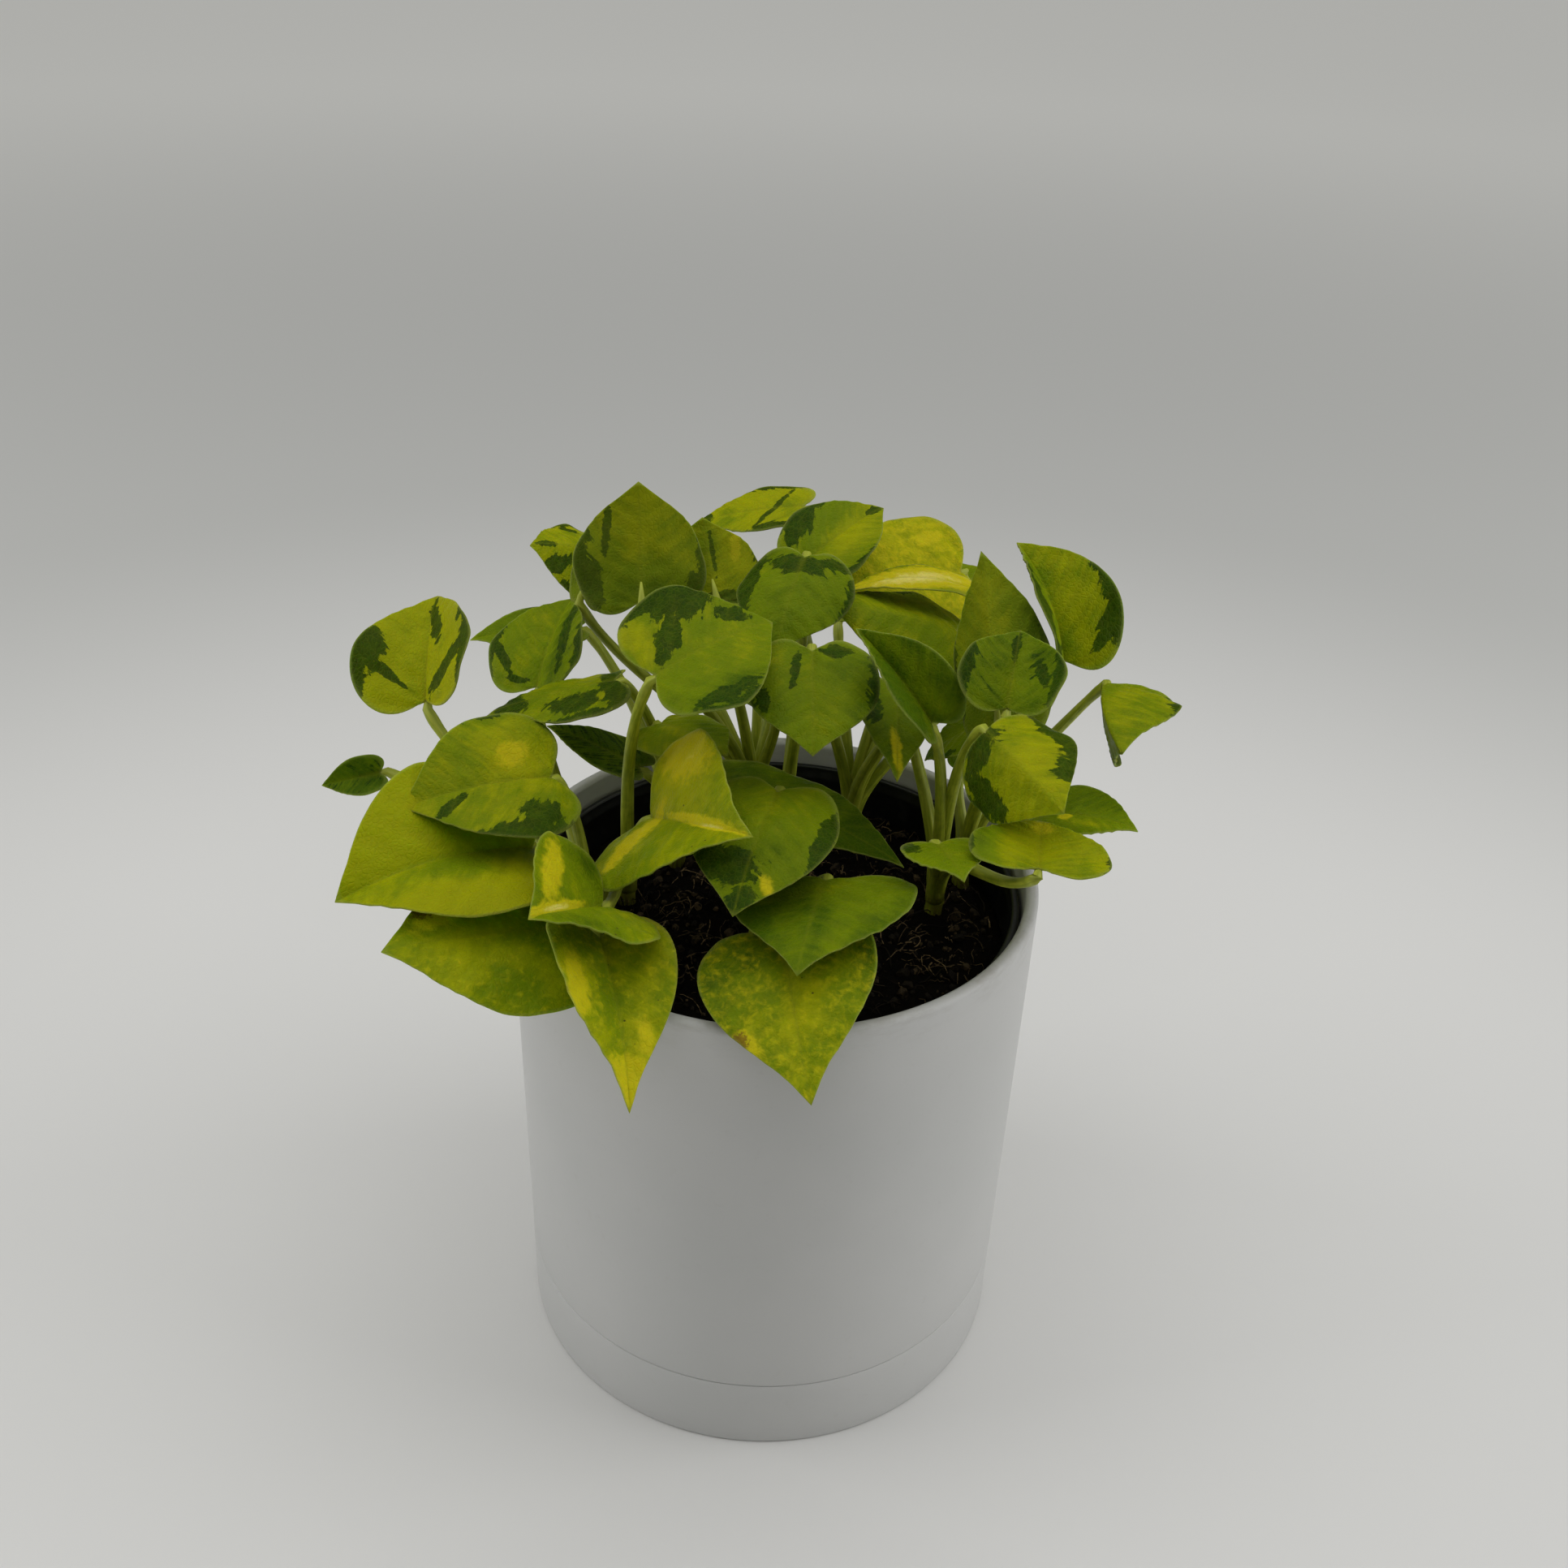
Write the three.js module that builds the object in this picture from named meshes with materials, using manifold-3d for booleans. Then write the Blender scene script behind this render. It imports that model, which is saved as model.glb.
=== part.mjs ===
// Potted pothos: a white planter standing in its flush saucer, with a black nursery pot inside,
// potting mix, and nine rooted cuttings. Each cutting is one vine with its petioles, and each
// heart-shaped leaf blade is its own piece at the end of a petiole.
// Millimetres, +Z up, +Y towards the back. The origin is the centre of the saucer's underside.
import * as THREE from "three";
import { mergeVertices } from "three/addons/utils/BufferGeometryUtils.js";
import Module from "manifold-3d";

const wasm = await Module();
wasm.setup();

// ---- Driving dimensions ----
const ROUND_SIDES = 48; // facets round the pots
const DRAIN_SIDES = 12; // facets round a drain hole
const CLEARANCE = 0.3; // gap between pieces that touch

const POT_TOP_R = 80; // planter's outer radius at the rim
const POT_TAPER = 1; // how much smaller that radius is at the foot
const POT_HEIGHT = 167;
const POT_WALL = 4;
const POT_FLOOR = 3;
const RIM_ROUND = 1.8; // rounding of the planter's lip

const SAUCER_HEIGHT = 26.5;
const SAUCER_WALL = 3;
const SAUCER_FLOOR = 3;
const SAUCER_EDGE = 1.2; // bevel at the foot
const DRAIN_GAP = 6; // air between the saucer's floor and the planter's
const POT_DRAIN_HOLES = 5;
const POT_DRAIN_R = 4;
const POT_DRAIN_INSET = 34; // from the foot's edge in to the holes' centres

const NURSERY_BELOW_RIM = 7; // from the planter's rim down to the nursery pot's
const NURSERY_WALL = 1.2;
const NURSERY_RIM_DROP = 12; // depth of the stiff band below the rim
const NURSERY_RIM_THICK = 2.4;
const NURSERY_RIM_GAP = 1.2; // between that band and the planter's wall
const NURSERY_LIP_ROUND = 1; // rounding of the nursery pot's rim
const NURSERY_TAPER = 12; // how much narrower the nursery pot is at its foot
const NURSERY_DRAIN_HOLES = 6;
const NURSERY_DRAIN_R = 5;
const NURSERY_DRAIN_INSET = 20.4; // from the inside of the wall in to the holes' centres

const SOIL_BELOW_RIM = 14; // from the nursery pot's rim down to the soil at its wall
const SOIL_MOUND = 3; // how much higher it is in the middle
const SOIL_RINGS = [1, 0.75, 0.45, 0]; // where the mound's facets end, as shares of its radius

const DRAWN_POT_R = 80; // radius of the planter that the cuttings are drawn for
const PLANT_SCALE = POT_TOP_R / DRAWN_POT_R;
const VINE_R = 2.6;
const VINE_TIP_SHARE = 0.8; // how much of that radius is left at the vine's upper end
const VINE_SIDES = 8;
const VINE_DEPTH = 18; // length of vine under the soil
const PETIOLE_FOOT_R = 1.9;
const PETIOLE_TOP_R = 1.1;
const PETIOLE_SIDES = 6;
const PETIOLE_STEPS = 6;
const PETIOLE_END_GAP = 2.2; // from the end of the petiole to the blade, behind the blade's notch
const PETIOLE_FIRST = 0.35; // share of the vine's height where its first petiole leaves
const PETIOLE_SPREAD = 0.5; // and the share over which the others follow
const PETIOLE_RISE = 0.35; // share of a petiole's reach that it first goes up, off the vine
const PETIOLE_LEAN = 0.12; // and how much of its way outwards it does meanwhile
const PETIOLE_RUN_IN = 0.3; // share of its reach over which it lines up with its arrival
const PETIOLE_DIRECTNESS = 3; // weight of the straight way against the midrib's, on arrival

const BLADE_THICK = 0.7;
const LOBE_DEPTH = 2; // how far the two lobes reach back past the petiole
const EDGE_ADVANCE = 1.35; // the edge starts slowly along the blade
const EDGE_SHOULDER = 1.06; // higher values move the widest part towards the petiole
const EDGE_FULLNESS = 0.75; // lower values make the blade rounder
const TIP_DRAW = 0.06; // share of the length drawn out into the pointed tip
const TIP_SHARPNESS = 12; // higher values keep that share nearer the tip
const FLAT_ANGLE = 1; // a curl or an arch smaller than this, in degrees, counts as this
const BLADE_ROWS = [0, 0.08, 0.2, 0.36, 0.54, 0.72, 0.88, 1]; // from the petiole to the tip
const BLADE_COLUMNS = [-1, -0.5, 0, 0.5, 1]; // from one edge to the other

// ---- The cuttings ----
// Lengths are for a planter of radius DRAWN_POT_R, and scale with it. Places are measured from
// the middle of the planter's rim, so that the leaves keep clear of it.
const scaled = (lengths) => lengths.map((length) => length * PLANT_SCALE);

// One leaf blade: where it starts at the petiole, where its tip is, and its width; then in
// degrees its roll about the line between them (0 faces it up), how far each half is folded up
// from the midrib, how much more the edge curls up, and how far it arches from base to tip.
// green is the share of dark green in its colour. taper narrows the blade towards its tip, or
// rounds it out there if below 0.
const leafOf = (base, tip, width, roll, fold, curl, arch, green, taper = 0) => ({
  base: scaled(base),
  tip: scaled(tip),
  width: width * PLANT_SCALE,
  roll,
  fold,
  curl,
  arch,
  green,
  taper,
});

// One cutting: its vine's place on the soil, the vine's height above the soil, and its leaves.
const cuttingOf = (name, at, height, leaves) => ({
  name,
  at: scaled(at),
  height: height * PLANT_SCALE,
  leaves,
});

const CUTTINGS = [
  cuttingOf("a", [-46, 6], 12, [
    leafOf([-35, -15, 71], [-5, 2, 80], 49, 12, 0, 10, 20, 0.45, -0.3),
    leafOf([-36, -22, 29], [-8, -58, 48], 63, 40, 22, -24, 10, 0.15, 0.55),
    leafOf([-46, -55, 21], [-60, -80, 35], 44, -25, 30, -20, 10, 0.3, -0.1),
    leafOf([-46, -62, 16], [-34, -105, -3], 43, -18, 18, 0, 25, 0.3, 0.6),
  ]),
  cuttingOf("b", [-54, -18], 12, [
    leafOf([-64, -20, 40], [-100, -38, 40], 44, -24, 12, -8, 30, 0.35, -0.05),
    leafOf([-69, -28, 21], [-113, -62, 25.5], 54, -20, 26, -20, 50, 0.35, -0.3),
    leafOf([-53, -52, 11], [-98, -76, 20], 48, -18, -2, -10, 20, 0.5, -0.25),
    leafOf([-121, 10, 21], [-137, 5, 19], 13, -50, 10, 20, 10, 0.9),
    leafOf([-104, 5, 49], [-105, 32, 69], 40, -25, 22, 8, 20, 0.35, -0.4),
    leafOf([-76, 32, 41], [-68, 54, 60], 37, -22, 20, -10, 20, 0.75, -0.35),
  ]),
  cuttingOf("c", [-32, 28], 16, [
    leafOf([-67, 64, 46], [-100, 60, 43], 18, -20, 10, 0, 10, 0.6, -0.2),
    leafOf([-49, 10, 56], [-84, 2, 48], 34, 7, -8, -10, 10, 0.8),
    leafOf([-36, 14, 40], [-16, -4, 41], 30, 0, -5, -10, 20, 0.3),
    leafOf([-42, 8, 28], [-70, 20, 34], 16, -10, 0, 0, 10, 0.95),
  ]),
  cuttingOf("d", [-8, 50], 16, [
    leafOf([-32, 80, 29], [-54, 104, 17], 38, 0, 8, 0, 30, 0.6),
    leafOf([-10, 86, 47], [-18, 114, 35], 38, 0, 8, 0, 30, 0.6),
    leafOf([-62, 76, 69], [-81, 68, 73], 32, -25, -25, 0, 20, 0.4, -0.2),
    leafOf([-43, 30, 72], [-45, 45, 102], 39, 180, 5, 30, 10, 0.8, -0.3),
    leafOf([-63, 49, 64], [-56, 58, 89], 20, 180, 10, 10, 10, 0.7),
    leafOf([-22, 48, 66], [-27, 60, 86], 36, 180, 5, 20, 10, 0.6, -0.3),
    leafOf([-4, 34, 38], [-16, 35, 43], 18, 0, 0, 0, 10, 0.9),
    leafOf([4, 79, 85], [-29, 85, 76], 24, -15, 0, 0, 15, 0.4),
  ]),
  cuttingOf("e", [2, 30], 16, [
    leafOf([5, 36, 86], [-2, 10, 69], 33, 0, 0, -30, 35, 0.75, -0.35),
    leafOf([8, 0, 73], [9, -30, 58], 34, 0, 6, -14, 20, 0.7, -0.4),
    leafOf([-17, 10, 23], [35, -15, 13], 32, 0, 5, -10, 20, 0.8),
  ]),
  cuttingOf("f", [-4, -24], 14, [
    leafOf([14, -45, 26], [7, -80, 22], 60, 8, -5, 10, 20, 0.85, 0.5),
    leafOf([3, -60, 16], [11, -103, 0], 54, 15, 5, -10, 20, 0.45, 0.45),
    leafOf([0, -26, 42], [-10, -66, 30], 39, 0, 0, -10, 30, 0.6, -0.2),
  ]),
  cuttingOf("g", [50, 6], 14, [
    leafOf([42, -14, 59], [21, -6, 82], 27, -30, 40, 0, 20, 0.95),
    leafOf([44, -42, 37], [49, -62, 40], 26, 0, 0, 0, 10, 0.8, 0.4),
    leafOf([69, -58, 41], [72, -38, 43], 37, 3, 0, 0, 10, 0.5, -0.1),
    leafOf([76, -20, 35], [99, -30, 37], 28, 0, 5, 0, 20, 0.8),
    leafOf([55, -30, 66], [73, -54, 57], 41, 40, -32, -20, 30, 0.3, -0.2),
    leafOf([33, 6, 59], [33, -22, 46], 26, 0, 10, 0, 20, 0.7, 0.4),
  ]),
  cuttingOf("h", [60, 24], 16, [
    leafOf([61, -12, 59], [56, 22, 93], 32, 150, 30, 10, 10, 0.6, -0.35),
    leafOf([62, -17, 66], [66, 2, 80], 29, 0, 10, 30, 10, 0.9, -0.4),
    leafOf([94, 14, 59], [94, -20, 56], 47, 54, -52, -10, 40, 0.4, 0.1),
    leafOf([61, 22, 40], [45, 24, 26], 28, 0, 0, 0, 20, 0.6),
    leafOf([58, 36, 15], [68, 40, 29], 24, 0, 0, 0, 20, 0.8),
    leafOf([83, 22, 62], [69, 40, 90], 38, 5, 35, 0, 40, 0.45, -0.25),
  ]),
  cuttingOf("i", [24, 48], 16, [
    leafOf([62, 66, 27], [86, 84, 19], 34, 0, 8, 0, 30, 0.6),
    leafOf([18, 84, 43], [24, 112, 31], 38, 0, 8, 0, 30, 0.6),
    leafOf([5, 54, 76], [28, 69, 89], 31, 10, 5, 0, 20, 0.7, -0.35),
    leafOf([56, 74, 67], [19, 56, 67], 44, -40, 0, -10, 10, 0.15, -0.15),
    leafOf([60, 48, 71], [19, 40, 74], 20, 0, 0, 0, 50, 0.1),
    leafOf([54, 88, 58], [72, 88, 57], 24, 0, 0, 0, 20, 0.6),
    leafOf([52, 34, 65], [15, 28, 74], 40, -17, -20, 0, 20, 0.5, -0.15),
  ]),
];

// ---- Colours ----
const WHITE_PLASTIC = 0xe4e4e2;
const BLACK_PLASTIC = 0x101112;
const SOIL_BROWN = 0x1c1410;
const STEM_GREEN = 0x8a9a2a;
const LEAF_YELLOW = 0xa8b81c;
const LEAF_GREEN = 0x2f4d12;

// ---- From three.js geometry to solids and back ----
const solidOf = (geometry) => {
  const plain = geometry.clone();
  plain.deleteAttribute("normal");
  plain.deleteAttribute("uv");
  const merged = mergeVertices(plain, 1e-4);
  return new wasm.Manifold(new wasm.Mesh({
    numProp: 3,
    vertProperties: merged.attributes.position.array,
    triVerts: new Uint32Array(merged.index.array),
  }));
};

const geometryOf = (solid) => {
  const mesh = solid.getMesh();
  return new THREE.BufferGeometry()
    .setAttribute("position", new THREE.BufferAttribute(new Float32Array(mesh.vertProperties), 3))
    .setIndex(new THREE.BufferAttribute(new Uint32Array(mesh.triVerts), 1));
};

const named = (name, geometry, color, roughness) => {
  const mesh = new THREE.Mesh(geometry, new THREE.MeshStandardMaterial({ color, roughness, metalness: 0 }));
  mesh.name = name;
  return mesh;
};

// A round solid from its profile: [radius, height] pairs that start and end on the axis,
// listed from the bottom centre, round the outside, to the top centre.
const turned = (profile) => {
  const lathe = new THREE.LatheGeometry(profile.map(([r, z]) => new THREE.Vector2(r, z)), ROUND_SIDES);
  return lathe.rotateX(Math.PI / 2);
};

// A quarter circle of profile points about [r, z], from one angle to another, in degrees.
const rounding = (r, z, radius, from, to, steps = 3) =>
  Array.from({ length: steps + 1 }, (_, i) => {
    const a = THREE.MathUtils.degToRad(from + ((to - from) * i) / steps);
    return [r + radius * Math.cos(a), z + radius * Math.sin(a)];
  });

// Upright cylinders on a circle, to cut drain holes through a floor with.
const drills = (count, circle_r, hole_r, floor_low, floor_top) =>
  Array.from({ length: count }, (_, i) => {
    const a = (2 * Math.PI * i) / count;
    const through = 3 * (floor_top - floor_low);
    const drill = new THREE.CylinderGeometry(hole_r, hole_r, through, DRAIN_SIDES);
    drill.rotateX(Math.PI / 2);
    drill.translate(circle_r * Math.cos(a), circle_r * Math.sin(a), (floor_low + floor_top) / 2);
    return solidOf(drill);
  });

const drilled = (geometry, holes) =>
  geometryOf(holes.reduce((body, hole) => body.subtract(hole), solidOf(geometry)));

// ---- Pots and soil ----
const POT_FOOT_R = POT_TOP_R - POT_TAPER;
const NURSERY_TOP = POT_HEIGHT - NURSERY_BELOW_RIM;
const SOIL_LEVEL = NURSERY_TOP - SOIL_BELOW_RIM;
const outerRadiusAt = (z) => POT_FOOT_R + ((POT_TOP_R - POT_FOOT_R) * z) / POT_HEIGHT;
const potFloorTop = SAUCER_FLOOR + DRAIN_GAP + POT_FLOOR;

function saucer() {
  const inner = POT_FOOT_R - SAUCER_WALL;
  return turned([
    [0, 0],
    [POT_FOOT_R - SAUCER_EDGE, 0],
    [POT_FOOT_R, SAUCER_EDGE],
    [outerRadiusAt(SAUCER_HEIGHT), SAUCER_HEIGHT],
    [inner, SAUCER_HEIGHT],
    [inner, SAUCER_FLOOR],
    [0, SAUCER_FLOOR],
  ]);
}

function planter() {
  const shoulder = SAUCER_HEIGHT + CLEARANCE;
  const spigot_r = POT_FOOT_R - SAUCER_WALL - CLEARANCE;
  const floor_low = SAUCER_FLOOR + DRAIN_GAP;
  const lip = POT_HEIGHT - RIM_ROUND;
  const inner_top = POT_TOP_R - POT_WALL;
  const inner_low = POT_FOOT_R - POT_WALL - CLEARANCE;
  const body = turned([
    [0, floor_low],
    [spigot_r, floor_low],
    [spigot_r, shoulder],
    [outerRadiusAt(shoulder), shoulder],
    ...rounding(POT_TOP_R - RIM_ROUND, lip, RIM_ROUND, 0, 90),
    ...rounding(inner_top + RIM_ROUND, lip, RIM_ROUND, 90, 180),
    [inner_low, shoulder],
    [inner_low, potFloorTop],
    [0, potFloorTop],
  ]);
  const circle_r = POT_FOOT_R - POT_DRAIN_INSET;
  return drilled(body, drills(POT_DRAIN_HOLES, circle_r, POT_DRAIN_R, floor_low, potFloorTop));
}

const nurseryFoot = potFloorTop + CLEARANCE;
const nurseryRimR = POT_TOP_R - POT_WALL - NURSERY_RIM_GAP;
const nurseryWallTopR = nurseryRimR - NURSERY_RIM_THICK + NURSERY_WALL;
// Inner radius of the nursery pot's wall at a height.
const nurseryInnerAt = (z) => {
  const share = (z - nurseryFoot) / (NURSERY_TOP - nurseryFoot);
  return nurseryWallTopR - NURSERY_WALL - NURSERY_TAPER * (1 - share);
};

function nurseryPot() {
  const outer = (z) => nurseryInnerAt(z) + NURSERY_WALL;
  const band = NURSERY_TOP - NURSERY_RIM_DROP;
  const floor_top = nurseryFoot + NURSERY_WALL;
  const body = turned([
    [0, nurseryFoot],
    [outer(nurseryFoot), nurseryFoot],
    [outer(band), band],
    [nurseryRimR - NURSERY_LIP_ROUND, band],
    [nurseryRimR, NURSERY_TOP - NURSERY_LIP_ROUND],
    [nurseryRimR - NURSERY_LIP_ROUND, NURSERY_TOP],
    [nurseryInnerAt(NURSERY_TOP) + NURSERY_WALL / 2, NURSERY_TOP],
    [nurseryInnerAt(NURSERY_TOP), NURSERY_TOP - NURSERY_LIP_ROUND],
    [nurseryInnerAt(floor_top), floor_top],
    [0, floor_top],
  ]);
  const circle_r = nurseryInnerAt(nurseryFoot) - NURSERY_DRAIN_INSET;
  return drilled(body, drills(NURSERY_DRAIN_HOLES, circle_r, NURSERY_DRAIN_R, nurseryFoot, floor_top));
}

const soilHeightAt = (r) => SOIL_LEVEL + SOIL_MOUND * (1 - (r / nurseryInnerAt(SOIL_LEVEL)) ** 2);

// The potting mix fills the nursery pot, with a pocket round each vine's buried part.
function pottingMix() {
  const low = nurseryFoot + NURSERY_WALL + CLEARANCE;
  const edge = nurseryInnerAt(SOIL_LEVEL) - CLEARANCE;
  const body = turned([
    [0, low],
    [nurseryInnerAt(low) - CLEARANCE, low],
    ...SOIL_RINGS.map((share) => [edge * share, soilHeightAt(edge * share)]),
  ]);
  const pockets = CUTTINGS.map(({ at: [x, y] }) => {
    const surface = soilHeightAt(Math.hypot(x, y));
    const pocket = new THREE.CylinderGeometry(
      VINE_R + CLEARANCE, VINE_R + CLEARANCE, 2 * VINE_DEPTH + 2 * CLEARANCE, VINE_SIDES,
    );
    return solidOf(pocket.rotateX(Math.PI / 2).translate(x, y, surface));
  });
  return drilled(body, pockets);
}

// ---- Plant ----
// A closed tube along a curve, with its radius going evenly from one end's to the other's.
function taperedTube(curve, steps, sides, start_r, end_r) {
  const frames = curve.computeFrenetFrames(steps, false);
  const points = [];
  for (let i = 0; i <= steps; i++) {
    const centre = curve.getPointAt(i / steps);
    const r = start_r + ((end_r - start_r) * i) / steps;
    for (let j = 0; j < sides; j++) {
      const a = (2 * Math.PI * j) / sides;
      points.push(centre.clone()
        .addScaledVector(frames.normals[i], r * Math.cos(a))
        .addScaledVector(frames.binormals[i], r * Math.sin(a)));
    }
  }
  const faces = [];
  for (let i = 0; i < steps; i++) {
    for (let j = 0; j < sides; j++) {
      const [a, b] = [i * sides + j, i * sides + ((j + 1) % sides)];
      faces.push(a, b, a + sides, b, b + sides, a + sides);
    }
  }
  const last = steps * sides;
  for (let j = 1; j < sides - 1; j++) {
    faces.push(0, j + 1, j, last, last + j, last + j + 1);
  }
  return new THREE.BufferGeometry().setFromPoints(points).setIndex(faces);
}

// The right-handed frame of a leaf: X from base to tip, Z out of the upper face.
function leafFrame({ base, tip, roll }) {
  const along = new THREE.Vector3(...tip).sub(new THREE.Vector3(...base));
  const chord = along.length();
  along.normalize();
  const up = new THREE.Vector3(0, 0, 1).addScaledVector(along, -along.z).normalize();
  up.applyAxisAngle(along, THREE.MathUtils.degToRad(roll));
  const side = new THREE.Vector3().crossVectors(up, along);
  return { chord, along, side, up, turn: new THREE.Matrix4().makeBasis(along, side, up) };
}

// Outline of the flat blade, as shares of its length and half width. u runs from 0 at the
// petiole, back round a lobe and forward to 1 at the tip.
const edgeAlong = (u) =>
  (1 - TIP_DRAW) * (u ** EDGE_ADVANCE - LOBE_DEPTH * u * (1 - u) ** 3) + TIP_DRAW * u ** TIP_SHARPNESS;
const edgeAcross = (u, taper) =>
  Math.max(0, Math.sin(Math.PI * u ** EDGE_SHOULDER)) ** EDGE_FULLNESS * (1 - taper * u * u);

const radiansOf = (angle) =>
  THREE.MathUtils.degToRad(Math.abs(angle) < FLAT_ANGLE ? FLAT_ANGLE : angle);

// Where a point of the flat blade goes once the blade is folded, curled and arched, and the
// direction out of its upper face there. v is the share of the way from midrib to edge.
function bladePoint({ width, fold, curl, arch, taper }, chord, u, v) {
  const half_arch = radiansOf(arch) / 2;
  const length = (chord * half_arch) / Math.sin(half_arch);
  const mix = Math.abs(v) ** 1.5;
  const s = length * (u * (1 - mix) + edgeAlong(u) * mix);
  const half = width / 2;
  const share = Math.abs(v) * edgeAcross(u, taper);

  const start = THREE.MathUtils.degToRad(fold);
  const bend = radiansOf(curl);
  const slope = start + bend * share;
  const across = (half / bend) * (Math.sin(slope) - Math.sin(start)) * Math.sign(v);
  const lift = (half / bend) * (Math.cos(start) - Math.cos(slope));

  const tilt = half_arch * (1 - (2 * s) / length);
  const x = (length / 2 / half_arch) * (Math.sin(half_arch) - Math.sin(tilt));
  const z = (length / 2 / half_arch) * (Math.cos(tilt) - Math.cos(half_arch));
  const out = new THREE.Vector3(-Math.sin(tilt), 0, Math.cos(tilt));
  const normal = out.clone().multiplyScalar(Math.cos(slope));
  normal.y -= Math.sin(slope) * Math.sign(v);
  return { point: new THREE.Vector3(x, across, z).addScaledVector(out, lift), normal };
}

// A blade in its own frame: a grid of points on its upper face and one on its lower face,
// closed along the edge. The grid's first and last rows are single points.
function blade(leaf) {
  const { chord } = leafFrame(leaf);
  const columns = BLADE_COLUMNS.length;
  const last = BLADE_ROWS.length - 1;
  const grid = BLADE_ROWS.flatMap((u, row) => (row === 0 || row === last ? [0] : BLADE_COLUMNS)
    .map((v) => bladePoint(leaf, chord, u, v)));
  const face = (side) => grid.map(({ point, normal }) =>
    point.clone().addScaledVector(normal, (side * BLADE_THICK) / 2));
  const at = (row, column) => {
    if (row === 0) return 0;
    return row === last ? grid.length - 1 : 1 + (row - 1) * columns + column;
  };
  const top = [];
  for (let row = 0; row < last; row++) {
    for (let c = 0; c < columns - 1; c++) {
      const [a, b, d, e] = [at(row, c), at(row + 1, c), at(row + 1, c + 1), at(row, c + 1)];
      if (row < last - 1) top.push([a, b, d]);
      if (row > 0) top.push(row < last - 1 ? [a, d, e] : [a, b, e]);
    }
  }
  const under = top.map(([a, b, c]) => [a + grid.length, c + grid.length, b + grid.length]);
  const edge = [];
  for (let row = 0; row < last; row++) {
    const left = [at(row, 0), at(row + 1, 0)];
    const right = [at(row + 1, columns - 1), at(row, columns - 1)];
    for (const [p, q] of [left, right]) {
      edge.push([p, p + grid.length, q + grid.length], [p, q + grid.length, q]);
    }
  }
  return new THREE.BufferGeometry()
    .setFromPoints([...face(1), ...face(-1)])
    .setIndex([...top, ...under, ...edge].flat());
}

// The end of the petiole, in the notch behind the blade, and the direction of the midrib there.
function petioleEnd(leaf) {
  const { along, up } = leafFrame(leaf);
  const tilt = radiansOf(leaf.arch) / 2;
  const forward = along.clone().multiplyScalar(Math.cos(tilt)).addScaledVector(up, Math.sin(tilt));
  const gap = PETIOLE_END_GAP * PLANT_SCALE;
  return { point: new THREE.Vector3(...leaf.base).addScaledVector(forward, -gap), forward };
}

// A vine with its petioles, as one solid, with its height measured from the planter's rim.
function vine({ at: [x, y], height, leaves }) {
  const surface = soilHeightAt(Math.hypot(x, y)) - POT_HEIGHT;
  const stem = new THREE.CylinderGeometry(
    VINE_R * VINE_TIP_SHARE, VINE_R, height + VINE_DEPTH, VINE_SIDES,
  );
  stem.rotateX(Math.PI / 2).translate(x, y, surface + (height - VINE_DEPTH) / 2);
  const petioles = leaves.map((leaf, i) => {
    const share = PETIOLE_FIRST + (PETIOLE_SPREAD * i) / leaves.length;
    const foot = new THREE.Vector3(x, y, surface + height * share);
    const { point, forward } = petioleEnd(leaf);
    const way = point.clone().sub(foot);
    const reach = way.length();
    const rise = new THREE.Vector3(way.x * PETIOLE_LEAN, way.y * PETIOLE_LEAN, reach * PETIOLE_RISE);
    const arrival = way.setLength(PETIOLE_DIRECTNESS).add(forward).normalize();
    const route = new THREE.CubicBezierCurve3(
      foot,
      foot.clone().add(rise),
      point.clone().addScaledVector(arrival, -reach * PETIOLE_RUN_IN),
      point,
    );
    const [foot_r, top_r] = scaled([PETIOLE_FOOT_R, PETIOLE_TOP_R]);
    return solidOf(taperedTube(route, PETIOLE_STEPS, PETIOLE_SIDES, foot_r, top_r));
  });
  return geometryOf(petioles.reduce((body, petiole) => body.add(petiole), solidOf(stem)));
}

// ---- Assembly ----
const potted_plant = new THREE.Group();
potted_plant.add(
  named("saucer", saucer(), WHITE_PLASTIC, 0.45),
  named("planter", planter(), WHITE_PLASTIC, 0.45),
  named("nursery_pot", nurseryPot(), BLACK_PLASTIC, 0.4),
  named("potting_mix", pottingMix(), SOIL_BROWN, 0.95),
);
for (const cutting of CUTTINGS) {
  const group = new THREE.Group();
  group.position.z = POT_HEIGHT;
  group.add(named(`vine_${cutting.name}`, vine(cutting), STEM_GREEN, 0.5));
  cutting.leaves.forEach((leaf, i) => {
    const color = new THREE.Color(LEAF_YELLOW).lerp(new THREE.Color(LEAF_GREEN), leaf.green);
    const mesh = named(`leaf_${cutting.name}${i + 1}`, blade(leaf), color, 0.4);
    mesh.position.set(...leaf.base);
    mesh.quaternion.setFromRotationMatrix(leafFrame(leaf).turn);
    group.add(mesh);
  });
  potted_plant.add(group);
}

export default potted_plant;
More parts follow.
